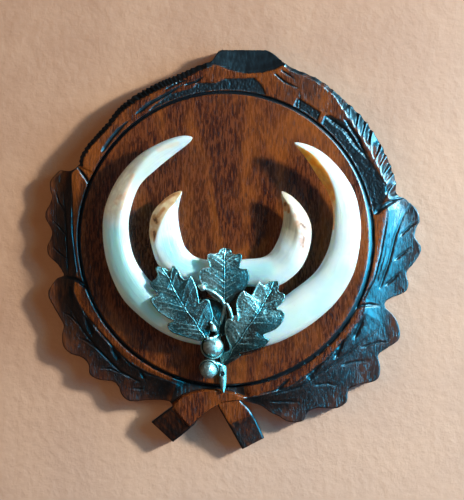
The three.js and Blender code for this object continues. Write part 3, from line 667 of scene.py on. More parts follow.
def antiqued_metal():
    """Cast metal, teal to bronze in the hollows, rubbed lighter, and lighter still as a painted highlight on
    each leaf's lit side, where its mask says.
    """
    m = Nodes("antiqued_metal")
    pitted = m.mask("pitted")
    grains = m.noise(1000, detail=4, roughness=0.65)
    clouds = m.noise(70, detail=4, distortion=0.6)
    patina = m.mix(m.ramp(clouds, 0.38, 0.62), PATINA_BRONZE, PATINA_TEAL)
    speckled = m.times(m.less(grains, 0.5), m.ramp(pitted, 0, 1, 0.5, 1.8))
    rub = m.add(m.mask("rub"), speckled)
    colour = m.mix(m.ramp(rub, 0.05, 0.60), patina, METAL_GREY)
    colour = m.mix(m.ramp(rub, 0.58, 1.1), colour, METAL_BRIGHT)
    gloss = m.ramp(grains, 0.3, 0.7, 0.30, 0.46)
    relief = m.add(grains, m.times(m.noise(2600, detail=2), 0.4))
    normal = m.bump(m.times(relief, pitted), 0.7, CAST_BUMP)
    return m.finish(Base_Color=colour, Metallic=0.85, Roughness=gloss, Normal=normal)


def dark_steel():
    """Dull dark steel with rusty spots, for the nail."""
    m = Nodes("dark_steel")
    spots = m.noise(1200)
    colour = m.mix(spots, STEEL_DARK, STEEL_RUST)
    gloss = m.ramp(spots, 0.3, 0.7, 0.45, 0.7)
    return m.finish(Base_Color=colour, Metallic=0.8, Roughness=gloss, Normal=m.bump(spots, 0.4, STEEL_BUMP))


# ---------------------------------------------------------------- plaque
SPOKES = 1440
DISC_RINGS = (25, 50, 68, 78, 84, 85.6)
CARVED_RINGS = 50
OUTLINE_STEPS = 12
CAP_TOP = 113.9
# Degrees to each side over which the lobes are evened out, to find how far a leaf slopes down
LEVELLED = 9
# Carved leaves: power of their fall, least width that they fall over, and dip of the crescent at their foot
LEAF_FALL = 1.9
LEAST_LEAF = 6
CRESCENT_DIP = 0.5
# Gouges along the rim: pitch in degrees on the right and on the left, depth on the bevel, bite at the edge
NOTCH_PITCH = 3.5
FINE_NOTCH_PITCH = 1.6
NOTCH_DEPTH = 2.0
NOTCH_BITE = 0.7
# Bevel: power of its fall, and the width from which it falls to its full depth
BEVEL_FALL = 1.4
FULL_BEVEL = 5
# Cap: how far its slope reaches, and the depth and width of its scoop
SCOOP_REACH = 12
SCOOP_DEPTH = 0.9
SCOOP_WIDTH = 9
# Punched ground: how far it is beaten down, and the depth of its dents
PUNCH_DEPTH = 0.5
DENT_DEPTH = 0.35
# V-groove: width inside its bottom line, what is added to it low on the right, and width outside the line
GROOVE_INNER = 1.8
GROOVE_WIDENED = 1.0
GROOVE_OUTER = 1.0
# Rings down the plaque's side, as (inset, share of the edge's height, height added)
SIDE_RINGS = [(0.2, 1, -0.2), (0, 1, -0.8), (0.15, 0.62, 0), (0.2, 0.3, 0), (0, 0, 1.0), (0.8, 0, 0)]
SIDE_WEAR = 0.12
BACK_RINGS = (0.9, 0.45)
# Sawn branch ends: points to a stretch, height where level, width, rounding of the edges, lift off the back
STUB_STEPS = 20
STUB_HEIGHT = 15.6
STUB_WIDTH = 14
STUB_ROUNDING = 0.8
STUB_LIFT = 0.05
# How dark the stain is, from 0 to 1
LEAF_STAIN = 0.86
CRESCENT_CLEAR = 0.68
BEVEL_STAIN = 0.95
RIM_STAIN = 0.42
ARCH_STAIN = 0.92
PUNCHED_STAIN = 0.97
SIDE_STAIN = 0.72
BACK_STAIN = 0.35


def plaque_reach(degrees):
    """Distance from the disc's middle to the outline in each direction."""
    outline = curve(OUTLINE, OUTLINE_STEPS, closed=True)
    outline[:, 0] = np.clip(outline[:, 0], cad_low.x / MM, cad_high.x / MM)
    outline[:, 1] = np.minimum(outline[:, 1], CAP_TOP)
    angle = np.degrees(np.unwrap(np.arctan2(outline[:, 1], outline[:, 0])))
    angle = np.maximum.accumulate(angle)
    radius = np.hypot(outline[:, 0], outline[:, 1])
    turned = np.where(degrees < angle[0], degrees + 360, degrees)
    return np.interp(turned, np.append(angle, angle[0] + 360), np.append(radius, radius[0]))


def between(degrees, start, end, soft=0.5):
    """1 from start to end, 0 elsewhere, with a soft change at both."""
    return smooth(degrees, start - soft, start + soft) * (1 - smooth(degrees, end - soft, end + soft))


def rim_heights(x, z, degrees, inward, bevel):
    """Height of the gouged rim, and the place on its bevel, from 0 at its top to 1 at the edge."""
    slope = np.clip((bevel - inward) / bevel, 0, 1)
    fall = (RIM_HEIGHT - RIM_EDGE) * slope**BEVEL_FALL * np.minimum(1, bevel / FULL_BEVEL)
    uneven = 0.85 + 0.8 * noise(x, 0, z, 5, seed=3)
    gouge = NOTCH_DEPTH * listed(GOUGED, degrees) * notches(degrees, inward) * uneven
    return RIM_HEIGHT - fall - gouge * smooth(slope, 0.05, 0.35), slope


def cap_heights(x, z):
    """Height of the scooped cap, and the distance into it from its lower border."""
    depth = inside(x, z, CAP_ARC + CAP_BEYOND)
    fall = (CAP_FOOT - CAP_EDGE) * smooth(depth, 0, SCOOP_REACH)
    scooped = CAP_FOOT - fall - SCOOP_DEPTH * np.sin(np.pi * smooth(depth, 0, SCOOP_WIDTH))
    border = RIM_HEIGHT - (RIM_HEIGHT - CAP_FOOT) * smooth(depth, -0.5, 0.3)
    return np.where(depth > 0, scooped, border), depth


def punch(height, stain, x, z, r):
    """Beats down the ground between the rim's ornaments."""
    punched = np.zeros(r.shape)
    for area in (PUNCHED_TOP, PUNCHED_CORNER, PUNCHED_RIGHT):
        within = smooth(inside(x, z, area), -0.3, 0.7) * smooth(r, RIM_START - 0.5, RIM_START + 0.5)
        punched = np.maximum(punched, within)
    dents = np.abs(noise(x, 0, z, 0.9, seed=5)) + 0.5 * np.abs(noise(x, 0, z, 0.6, seed=6))
    return height - punched * (PUNCH_DEPTH + DENT_DEPTH * dents), np.maximum(stain, punched * PUNCHED_STAIN)


def cut_lines(height, stain, x, z, carved):
    """Cuts the carved lines, each of which thins out toward its end."""
    for line, width, depth in CUTS:
        away, along = near(x, z, line)
        taper = np.clip(np.minimum(along * 6 + 0.35, (1 - along) * 2.2 + 0.15), 0, 1)
        bite = np.clip(1 - away / (width * (0.45 + 0.55 * taper)), 0, 1) * taper
        height = height - depth * bite * carved
        stain = np.maximum(stain, smooth(bite, 0.05, 0.4) * carved)
    return height, stain


def cut_groove(height, stain, r, degrees):
    """Cuts the V-groove round the disc, wider low on the right."""
    inner = GROOVE_INNER + GROOVE_WIDENED * between(np.mod(degrees + 90, 360), 20, 106, 12)
    depth = 1 - np.where(r < GROOVE_BOTTOM, (GROOVE_BOTTOM - r) / inner, (r - GROOVE_BOTTOM) / GROOVE_OUTER)
    depth = np.clip(depth, 0, 1)
    return height - GROOVE_DEPTH * depth**1.2, np.maximum(stain, smooth(depth, 0.04, 0.3))


def carved_face(r, degrees, edge, level_edge):
    """Height and stain of the plaque's face. level_edge is the outline with the lobes evened out."""
    x = r * np.cos(np.radians(degrees))
    z = r * np.sin(np.radians(degrees))
    signed = np.where(degrees > 337, degrees - 360, degrees)
    foot = listed(LEAF_FOOT, signed)
    outward = np.clip((r - foot) / np.maximum(level_edge - foot, LEAST_LEAF), 0, 1)
    blade = LEAF_EDGE + (LEAF_SWELL - LEAF_EDGE) * (1 - outward) ** LEAF_FALL
    leaf = np.where(r < foot, CRESCENT_HEIGHT - CRESCENT_DIP * smooth(r, foot - 3, foot), blade)
    rim, slope = rim_heights(x, z, degrees, edge - r, listed(CHAMFER, signed))
    cap, cap_depth = cap_heights(x, z)
    arch_depth = inside(x, z, ARCH_TOP + ARCH_BOTTOM)
    arch = RECESS + (BRANCH_HEIGHT - RECESS) * smooth(arch_depth, -0.6, 1.2)

    in_cap = between(degrees, CAP_START, CAP_END)
    in_branches = between(degrees, BRANCHES_START, BRANCHES_END, 3)
    past_rim = smooth(degrees, LEFT_LEAF_START - 0.5, LEFT_LEAF_START + 0.5)
    in_rim = smooth(degrees, LEAF_END - 0.35, LEAF_END + 0.35) * (1 - past_rim)
    height = leaf * (1 - in_rim) + rim * in_rim
    height = height * (1 - in_cap) + cap * in_cap
    height = height * (1 - in_branches) + arch * in_branches

    in_leaf = (1 - in_rim) * (1 - in_branches)
    faded = np.where(x > 0, 0.18, 0.34)
    stain = in_leaf * (LEAF_STAIN - faded * outward - CRESCENT_CLEAR * smooth(foot + 0.4 - r, 0, 1.5))
    blotched = np.clip(0.85 + 0.8 * noise(x, 0, z, 6, seed=13) + (degrees > CAP_START), 0.5, 1.05)
    stain = np.maximum(stain, in_rim * smooth(slope, 0.02, 0.3) * BEVEL_STAIN * blotched)
    stain = np.maximum(stain, RIM_STAIN * between(degrees, LEAF_END, CAP_START, 3))
    stain = np.maximum(stain, in_cap * smooth(cap_depth, -0.6, 0.2))
    stain = np.where(in_branches > 0.5, ARCH_STAIN * (1 - smooth(arch_depth, -0.4, 0.6)), stain)

    carved = smooth(r, GROOVE_MIDDLE, RIM_START)
    height, stain = punch(height, stain * carved, x, z, r)
    height, stain = cut_lines(height, stain, x, z, carved)
    ripples = 0.08 * noise(x, 0, z, 3.5, seed=8) + 0.06 * noise(x, 0, z, (0.8, 1, 2.5), seed=9)
    height = np.where(r < GROOVE_MIDDLE, DISC_HEIGHT, height + carved * ripples)
    height, stain = cut_groove(height, stain, r, degrees)
    return height, np.clip(stain, 0, 1)


def notches(degrees, inward):
    """Depth, 0 to 1, of the slanting gouges along the rim's edge, whose pitch wanders a little."""
    pitch = np.where(degrees < CAP_START, NOTCH_PITCH, FINE_NOTCH_PITCH)
    phase = degrees / pitch + 0.12 * inward + 0.6 * noise(degrees, 0, 0, 6, seed=1)
    along = np.mod(phase, 1)
    return smooth(along, 0, 0.3) * (1 - smooth(along, 0.3, 1.0))


def plaque():
    """The board: rings over its carved face, down its side and across its back, and two sawn branch ends."""
    degrees = np.arange(SPOKES) * 360 / SPOKES
    reach = plaque_reach(degrees)
    turns = range(-LEVELLED, LEVELLED + 1)
    level_edge = sum(np.roll(reach, round(turn * SPOKES / 360)) for turn in turns) / len(turns)
    rim = between(degrees, LEAF_END, CAP_START) + between(degrees, CAP_END, LEFT_LEAF_START)
    uneven = 0.8 + 0.4 * noise(degrees, 0, 0, 2.5, seed=2)
    edge = reach - NOTCH_BITE * listed(GOUGED, degrees) ** 0.5 * notches(degrees, 0) * rim * uneven

    disc = np.repeat(np.array(DISC_RINGS)[:, None], SPOKES, axis=1)
    start = DISC_RADIUS - 0.4
    carved = start + np.linspace(0, 1, CARVED_RINGS)[:, None] * (edge - 0.6 - start)
    face = np.concatenate([disc, carved])
    height, stain = carved_face(face, np.broadcast_to(degrees, face.shape), edge, level_edge)

    inset, share, added = (np.array(column)[:, None] for column in zip(*SIDE_RINGS))
    wear = SIDE_WEAR * np.abs(noise(degrees, 0, np.arange(len(SIDE_RINGS))[:, None], (1.5, 1, 1), seed=4))
    side = edge - inset - wear
    back = edge * np.array(BACK_RINGS)[:, None]
    radius = np.concatenate([face, side, back])
    height = np.concatenate([height, height[-1] * share + added, 0 * back])
    side_stain = np.broadcast_to(np.maximum(stain[-1], SIDE_STAIN), side.shape)
    stain = np.concatenate([stain, side_stain, np.full(back.shape, BACK_STAIN)])
    turn = np.radians(degrees)
    rings = np.stack([radius * np.cos(turn), radius * np.sin(turn), height], axis=-1)

    shell = Shell()
    shell.add_rings(rings, first=(0, 0, DISC_HEIGHT), last=(0, 0, 0), stain=stain)
    sawn_end(shell, LEFT_STUB, cut=0.36, tip=9.5)
    sawn_end(shell, RIGHT_STUB, cut=0.64, tip=9.0)
    return shell.finish("carved_plaque", varnished_wood(), "stained_wood", "plaque")


def sawn_end(shell, rows, cut, tip):
    """The end of a carved branch, level up to the share cut of its length, then sawn aslant to its tip."""
    rows = curve(rows, STUB_STEPS)
    across = np.array([0, 0, 0.03, 0.07, *np.linspace(0.12, 0.88, 30), 0.93, 0.97, 1, 1])
    share = np.linspace(0, 1, len(rows))[:, None]
    x = rows[:, None, 0] + (rows[:, None, 2] - rows[:, None, 0]) * across
    z = rows[:, None, 1] + (rows[:, None, 3] - rows[:, None, 1]) * across
    top = STUB_HEIGHT - (STUB_HEIGHT - tip) * np.clip((share - cut) / (1 - cut), 0, 1)
    top = top + 0.12 * noise(x, 0, z, (0.9, 1, 4), seed=12)
    side = np.minimum(across, 1 - across) * STUB_WIDTH
    height = top - STUB_ROUNDING * (1 - np.clip(side / 1.1, 0, 1)) ** 2
    height[:, [0, -1]] = STUB_LIFT
    sawn = 0.62 + 0.22 * noise(x + z, 0, x - z, (1.2, 1, 9), seed=14)
    stain = 0.1 + (sawn - 0.1) * smooth(share, cut - 0.01, cut + 0.03)
    stain = np.maximum(stain, 1 - smooth(side, 0.3, 1.2))
    stain[:, [0, -1]] = BACK_STAIN
    rings = np.stack([x, z, height], axis=-1)
    last = rings[-1] * (1, 1, 0) + (0, 0, STUB_LIFT)
    shell.add_rings(np.concatenate([rings, [last]]), stain=np.concatenate([stain, stain[-1:]]))


# ---------------------------------------------------------------- tusks
TUSK_RINGS = 16
TUSK_AROUND = 96
TIP_ROUNDING = 1.7
# Rings crowd toward the tip by this power of their place, and a roof is sharp by this power
CROWDING = 1.5
ROOF_POWER = 5
BACK_FLATNESS = 0.92
RIPPLE = 0.05
# the fourth mask is partly painted shade
# the last mask is a painted cyan shade
TUSK_MASKS = ("dentine", "tan", "brown", "olive_and_shade", "cyan_shade")


def ridged_sections(crest, roof):
    """Places round each ring as u, 1 at the outer edge and -1 at the inner edge, and v, 1 at the front.

    A ring is round where roof is 0, and has a ridge at u = crest between two flat sides where roof is 1.
    """
    turn = np.linspace(0, 2 * np.pi, TUSK_AROUND, endpoint=False) + 0.01
    u = np.cos(turn)
    outer_side = np.maximum(1 - u, 0.001) / (1 - crest)
    inner_side = np.maximum(1 + u, 0.001) / (1 + crest)
    ridged = (outer_side ** -ROOF_POWER + inner_side ** -ROOF_POWER) ** (-1 / ROOF_POWER)
    front = np.sin(turn) * (1 - roof) + ridged * roof
    return u * np.ones_like(crest), np.where(np.sin(turn) > 0, front, BACK_FLATNESS * np.sin(turn))


def tusk(name, node, material, edges, spec, crests, roofs, paint):
    """One tusk between its two edges, which narrows to a round tip."""
    edges = curve(edges, TUSK_RINGS)
    share = np.linspace(0, 1, len(edges))
    t = 1 - (1 - share) ** CROWDING
    edges = np.stack([np.interp(t, share, column) for column in edges.T], axis=1)
    t = t[:, None]
    crest = listed(crests, t)
    u, v = ridged_sections(crest, listed(roofs, t))
    outer, inner = edges[:, None, :2], edges[:, None, 2:]
    middle = (outer + inner) / 2
    half = np.linalg.norm(outer - inner, axis=-1) / 2
    direction = (outer - inner) / (2 * half[..., None])
    depth = half * spec["flatness"]
    steps = np.linalg.norm(np.diff(middle[:, 0], axis=0), axis=1)
    to_tip = np.append(np.cumsum(steps[::-1])[::-1], 0)[:, None]
    shrink = np.sqrt(1 - (1 - np.clip(to_tip / TIP_ROUNDING, 0, 1)) ** 2)
    plan = middle + direction * (u * half * shrink)[..., None]
    x, z = plan[..., 0], plan[..., 1]
    ripple = noise(t * 60, 0, u * 3.2, (1, 1, 0.4), seed=21)
    lines = 0.5 + 0.5 * noise(t * 5, v * 6, u * 24, 1, seed=22)
    height = DISC_HEIGHT + GAP + depth + spec["lift"] * t**2 + v * depth * shrink
    height = height - RIPPLE * (1 + ripple) * smooth(half, 1, 4) * shrink
    painted = paint(x, z, u, crest, t)
    front = smooth(v, -0.5, 0.1)
    masks = {mask: painted.get(mask, 0) * front for mask in TUSK_MASKS}
    shell = Shell()
    shell.add_rings(np.stack([x, z, height], axis=-1), lines=lines, **masks)
    return shell.finish(name, material, "tusk_ivory", node)


def patches(x, z, *lines):
    """Soft patches along lines, each given as its strength, its half width and its (x, z) points."""
    total = np.zeros(x.shape)
    for strength, reach, *line in lines:
        total = np.maximum(total, strength * (1 - smooth(near(x, z, line)[0], 0.2 * reach, reach)))
    return total


def paint_lower_left(x, z, u, crest, t):
    """Tan outer side near the middle, with streaks of dentine toward the tip."""
    tan = patches(x, z, (0.60, 13, (-60, 40), (-66, 27), (-68, 20)), (0.35, 7, (-50, 51), (-58, 43)))
    streak = patches(
        x, z, (0.22, 2.4, (-40, 53), (-34, 55), (-29, 56.5)),
        (0.35, 1.6, (-55, 38), (-59.5, 27), (-62, 18)),
    )
    brown = patches(
        x, z, (0.22, 2.6, (-56, 38), (-59, 31), (-60.5, 25)), (0.42, 3.4, (-62, 25), (-65, 22)),
    )
    # painted shade: a cyan tint along the lower outer side
    cyan_shade = patches(x, z, (0.75, 9, (-66, 2), (-62, -16), (-54, -32), (-42, -44)))
    return {"dentine": streak, "tan": tan * smooth(u - crest, -0.5, 0.5), "brown": brown, "cyan_shade": cyan_shade}


def paint_lower_right(x, z, u, crest, t):
    """Wear facet of orange dentine on the inner side near the tip, and a line of it below."""
    facet = smooth(crest - u, -0.04, 0.12) * smooth(t, 0.56, 0.66)
    orange = patches(x, z, (1, 7, (56, 38), (60, 30), (61.5, 24)))
    line = patches(x, z, (0.8, 1.4, (62.5, 25), (64, 14), (63.5, 6))) * smooth(-u, 0.7, 0.9)
    dentine = np.maximum(facet * (0.55 + 0.45 * smooth(t, 0.99, 0.9)), line)
    # painted shade: a cyan tint along the lower outer side
    cyan_shade = patches(x, z, (0.30, 9, (70, -20), (58, -38), (38, -50), (16, -58)))
    return {"dentine": dentine, "brown": 0.40 * orange * facet, "cyan_shade": cyan_shade}


def paint_upper_left(x, z, u, crest, t):
    """Tan wear facet on the outer side with brown stains, and a grey fleck at the tip."""
    facet = smooth(u - crest, -0.04, 0.1) * smooth(t, 0.40, 0.5)
    brown = patches(
        x, z, (1, 2.4, (-43, 13.5), (-41.5, 10)), (1, 2.2, (-42.5, 4), (-42, -1)),
        (0.7, 1.8, (-41, 13), (-37, 18)), (0.75, 1.8, (-40, 20.5), (-34, 25), (-29, 27.5)),
        (0.5, 3.0, (-44, 10), (-44, 2)),
    )
    grey = patches(x, z, (0.7, 1.1, (-29.4, 22.5), (-29.2, 20)))
    # painted shade: a cyan tint low near the root
    cyan_shade = patches(x, z, (0.75, 8, (-34, -4), (-27, -14), (-14, -20)))
    tan = 0.85 * facet
    return {"dentine": 0.15 * facet, "tan": tan, "brown": brown * facet, "olive_and_shade": grey, "cyan_shade": cyan_shade}


def paint_upper_right(x, z, u, crest, t):
    """Olive inner side, partly its worn colour and partly painted shade, and tan outer side near the tip,
    with brown cracks and stains.
    """
    # painted shade in part: the inner side, turned from the light, is painted olive
    inner = smooth(crest - u, -0.05, 0.12) * smooth(t, 0.42, 0.58)
    outer = smooth(u - crest, -0.05, 0.12) * smooth(t, 0.5, 0.62)
    brown = patches(
        x, z, (0.9, 1.8, (35.2, 21), (35.4, 17.5)), (0.8, 1.5, (37, 20), (37.3, 16)),
        (0.60, 4.6, (43, 9), (46.5, 6.5)), (0.55, 3.6, (45.5, 3), (45.2, -4)),
        (0.45, 3.2, (41.5, 14), (44, 8)), (1.0, 1.3, (44.5, 9), (46.8, 6.8)),
        (0.85, 1.1, (46.3, 1), (45.8, -5)),
    )
    # painted shade: a cyan tint low near the root
    cyan_shade = patches(x, z, (0.60, 8, (10, -20), (24, -18)))
    return {"tan": 0.65 * outer + 0.5 * inner, "brown": brown, "olive_and_shade": 0.75 * inner, "cyan_shade": cyan_shade}


def tusks():
    material = tusk_ivory()
    tusk(
        "left_lower_tusk", "lower_tusk_left", material, LEFT_LOWER_TUSK, LOWER_TUSK,
        LEFT_LOWER_CREST, LEFT_LOWER_ROOF, paint_lower_left,
    )
    tusk(
        "right_lower_tusk", "lower_tusk_right", material, RIGHT_LOWER_TUSK, LOWER_TUSK,
        RIGHT_LOWER_CREST, RIGHT_LOWER_ROOF, paint_lower_right,
    )
    tusk(
        "left_upper_tusk", "upper_tusk_left", material, LEFT_UPPER_TUSK, UPPER_TUSK,
        LEFT_UPPER_CREST, LEFT_UPPER_ROOF, paint_upper_left,
    )
    tusk(
        "right_upper_tusk", "upper_tusk_right", material, RIGHT_UPPER_TUSK, UPPER_TUSK,
        RIGHT_UPPER_CREST, RIGHT_UPPER_ROOF, paint_upper_right,
    )


# ---------------------------------------------------------------- cast cover
LEAF_STEPS = 12
LEAF_ACROSS = 73
LOBE_ROUNDING = 1.8
# Where (x, z) of the margins and of the midrib start in a leaf's rows
LEFT = 0
MIDRIB = 2
RIGHT = 4
# Every third column of the front, backwards, makes the back of a leaf
BACK_COLUMNS = slice(-2, 0, -3)
# A vein runs to each lobe that bulges more than this
LOBE_BULGE = 0.4
# Relief of a leaf: widths, places and heights of the midrib, the furrows beside it, the veins and the bead
RIB_WIDTH = 0.24
RIB_RISE = 0.08
FURROW_PLACE = 0.62
FURROW_WIDTH = 0.34
FURROW_DIP = 0.12
VEIN_WIDTH = 0.34
VEIN_RISE = 0.18
BEAD_PLACE = 0.40
BEAD_WIDTH = 0.35
BEAD_RISE = 0.18
EDGE_ROUNDING = 0.7
TWIG_STEPS = 8
TWIG_SIDES = 20
PROFILE_STEPS = 6
BUD = [(0.05, -2.0), (1.2, -1.7), (1.9, -0.6), (1.7, 0.6), (1.0, 2.0), (0.05, 3.2)]
# How rubbed a back is, and how pitted twigs and turned bodies are, from 0 to 1
BACK_RUB = 0.3
TWIG_PITS = 0.3
TURNED_PITS = 0.1


def margin_bulge(rows, side):
    """How far each row's margin stands out beyond its neighbours, above 0 on a lobe and below 0 in a gap."""
    width = np.hypot(rows[:, side] - rows[:, MIDRIB], rows[:, side + 1] - rows[:, MIDRIB + 1])
    padded = np.pad(width, 1, mode="edge")
    return width - (padded[:-2] + padded[2:]) / 2


def round_lobes(rows, side):
    """Moves one margin out so that its lobes are round and the gaps between them stay sharp."""
    rib = rows[:, MIDRIB:MIDRIB + 2]
    margin = rows[:, side:side + 2]
    width = np.linalg.norm(margin - rib, axis=1)
    run = np.append(0, np.cumsum(np.linalg.norm(np.diff(rib, axis=0), axis=1)))
    away = np.abs(run[:, None] - run[None, :])
    cap = np.sqrt(np.clip(LOBE_ROUNDING**2 - away**2, 0, None)) - LOBE_ROUNDING
    grown = np.where(away < LOBE_ROUNDING, width[None, :] + cap, 0).max(axis=1)
    grown = width + (grown - width) * np.clip(width / 3, 0, 1)
    rows[:, side:side + 2] = rib + (margin - rib) * (grown / np.maximum(width, 0.01))[:, None]


def side_veins(x, z, rows):
    """Strength of the veins that run from the midrib to the tip of each lobe."""
    ribs = rows[:, MIDRIB:MIDRIB + 2]
    strength = np.zeros(x.shape)
    for side in (LEFT, RIGHT):
        bulge = margin_bulge(rows, side)
        for i in range(1, len(rows) - 1):
            if bulge[i] > LOBE_BULGE:
                start = ribs[i - 1]
                end = rows[i, side:side + 2]
                bend = (start + end) / 4 + (ribs[i] + end) / 4
                away, along = near(x, z, [start, bend, start + (end - start) * 0.85])
                strength = np.maximum(strength, hump(away, 0, VEIN_WIDTH) * (1 - 0.6 * along))
    return strength


def cast_leaf(shell, rows, midrib, droop, rubbed, lit_side):
    """One leaf of foil, raised along its midrib, whose margins hang by droop."""
    rows = np.array(rows, float)
    dense = curve(rows, LEAF_STEPS)
    round_lobes(dense, LEFT)
    round_lobes(dense, RIGHT)
    count = len(dense)
    levels = curve(list(enumerate(midrib)), LEAF_STEPS)[:, 1]
    ridge = np.interp(np.linspace(0, 1, count), np.linspace(0, 1, len(levels)), levels)[:, None]
    across = np.linspace(-1, 1, LEAF_ACROSS)
    u = across - 0.4 * np.sin(2 * np.pi * across) / (2 * np.pi)
    reach = np.abs(u)
    left, rib, right = (dense[:, None, side:side + 2] for side in (LEFT, MIDRIB, RIGHT))
    plan = rib + np.where(u[:, None] < 0, left - rib, right - rib) * reach[:, None]
    x, z = plan[..., 0], plan[..., 1]
    broad = smooth(np.linalg.norm(left - right, axis=-1), 1.0, 5.0)
    rib_away = near(x, z, rib[:, 0])[0]
    middle = hump(rib_away, 0, RIB_WIDTH) * broad
    furrow = hump(rib_away, FURROW_PLACE, FURROW_WIDTH) * broad
    veins = side_veins(x, z, rows) * broad
    margin = np.concatenate([left[::2, 0], right[::-2, 0], left[:1, 0]])
    edge_away = near(x, z, margin)[0]
    bead = hump(edge_away, BEAD_PLACE, BEAD_WIDTH) * broad

    station = np.arange(len(rows))
    place = np.linspace(0, len(rows) - 1, count)
    bulges = [np.interp(place, station, margin_bulge(rows, side))[:, None] for side in (LEFT, RIGHT)]
    puff = np.clip(0.12 * np.where(u < 0, *bulges), -0.4, 0.4)
    level = ridge - droop * reach**1.5 + puff * np.sin(np.pi * reach)
    curl = 0.35 * smooth(reach, 0.75, 1.0) * noise(x, 0, z, 9, seed=33)
    pits = noise(x, 0, z, 0.8, seed=31) * 0.05 + noise(x, 0, z, 2.2, seed=32) * 0.10
    raised = RIB_RISE * middle - FURROW_DIP * furrow + VEIN_RISE * veins + BEAD_RISE * bead
    to_edge = np.clip(1 - edge_away / EDGE_ROUNDING, 0, 1)
    thinned = (FOIL - FOIL * np.sqrt(1 - to_edge**2)) / 2
    front = level - thinned + raised + pits * (1 - bead) + curl
    back = level - FOIL + thinned + curl

    # painted light: the left half of each leaf is painted lighter and the margin on its lit side brighter,
    # as the light falls on the leaf's fold; the noise is rubbed wear
    wear_and_lit_side = 0.26 * noise(x, 0, z, 9, seed=34) - 0.16 * abs(lit_side) * np.clip(2 * u, -1, 1)
    bead_rub_and_highlight = bead * (0.36 + 0.24 * lit_side * np.sign(u))
    rub = np.clip(0.34 * middle + 0.60 * veins + bead_rub_and_highlight - 0.60 * furrow + wear_and_lit_side + rubbed, 0, 1)
    sides = [(x, x), (z, z), (front, back), (rub, np.full(rub.shape, BACK_RUB))]
    joined = [np.concatenate([ahead, behind[:, BACK_COLUMNS]], axis=1) for ahead, behind in sides]
    shell.add_rings(np.stack(joined[:3], axis=-1), rub=joined[3], pitted=1)


def cast_twig(shell, points, radius):
    """A knobbly twig along points, rounded at both ends."""
    line = curve(points, TWIG_STEPS)
    heading = np.gradient(line, axis=0)
    heading /= np.linalg.norm(heading, axis=1, keepdims=True)
    side = np.cross(heading, (0.2, 0.1, 1.0))
    side /= np.linalg.norm(side, axis=1, keepdims=True)
    up = np.cross(side, heading)
    turn = np.linspace(0, 2 * np.pi, TWIG_SIDES, endpoint=False)
    along = np.linspace(0, 1, len(line))
    rounded = np.sqrt(np.clip(np.minimum(along, 1 - along) * 14 + 0.12, 0, 1))
    size = radius * (0.82 + 0.22 * np.cos(along * 9) ** 2) * rounded
    ring = np.cos(turn)[None, :, None] * side[:, None] + np.sin(turn)[None, :, None] * up[:, None]
    rub = np.clip(0.40 + 0.45 * ring[..., 2], 0, 1)
    shell.add_rings(line[:, None] + ring * size[:, None, None], rub=rub, pitted=TWIG_PITS)


def turned(shell, profile, start, axis, sides, relief=None, rub=0.4):
    """A turned body from (radius, distance) points, with its axis laid from start in a direction."""
    axis = np.array(axis, float) / np.linalg.norm(axis)
    side = np.cross(axis, (0.3, 0.2, 1.0))
    side /= np.linalg.norm(side)
    up = np.cross(side, axis)
    shape = curve(profile, PROFILE_STEPS)
    turn = np.linspace(0, 2 * np.pi, sides, endpoint=False)
    radius = np.maximum(shape[:, 0], 0.02)[:, None] * np.ones(sides)
    raised = relief(turn[None, :], shape[:, 1][:, None]) if relief else np.zeros(radius.shape)
    radius = radius + raised * smooth(radius, 1, 3)
    ring = np.cos(turn)[:, None] * side + np.sin(turn)[:, None] * up
    points = np.array(start, float) + axis * shape[:, 1][:, None, None] + radius[..., None] * ring
    shell.add_rings(points, rub=np.clip(rub + raised * 1.6, 0, 1), pitted=TURNED_PITS)


def cup_scales(turn, distance):
    """Overlapping scales round an acorn's cup, and the lip of its mouth."""
    row = distance / 1.25
    shift = np.mod(np.floor(row), 2) * 0.5
    scale = np.abs(np.sin((turn * 14 / (2 * np.pi) + shift) * np.pi)) * (1 - np.mod(row, 1) * 0.7)
    lip = hump(distance, 0.4, 0.45)
    return 0.22 * scale * (1 - lip) - 0.08 + 0.3 * lip


def nut_stripes(turn, distance):
    """Faint stripes from the cup to the point of an acorn's nut."""
    return 0.10 * noise(7 * np.cos(turn), 7 * np.sin(turn), distance, (1, 1, 6), seed=41)


def cast_acorn(shell, start, axis, r):
    """A nut of radius r in its scaly cup."""
    nut = [
        (0.1, -2), (r * 0.8, -1), (r, 2), (r * 0.95, 4.4), (r * 0.74, 6.4), (r * 0.34, 7.6), (0.9, 7.9),
        (0.05, 8.3),
    ]
    turned(shell, nut, start, axis, sides=96, relief=nut_stripes, rub=0.82)
    c = r * 1.18
    cup = [
        (0.1, -5), (c * 0.6, -4.4), (c * 0.9, -2.4), (c * 0.98, 0.2), (c * 0.95, 0.9), (c * 0.88, 0.6),
        (r * 0.95, -0.4), (0.1, -0.6),
    ]
    turned(shell, cup, start, axis, sides=84, relief=cup_scales, rub=0.45)


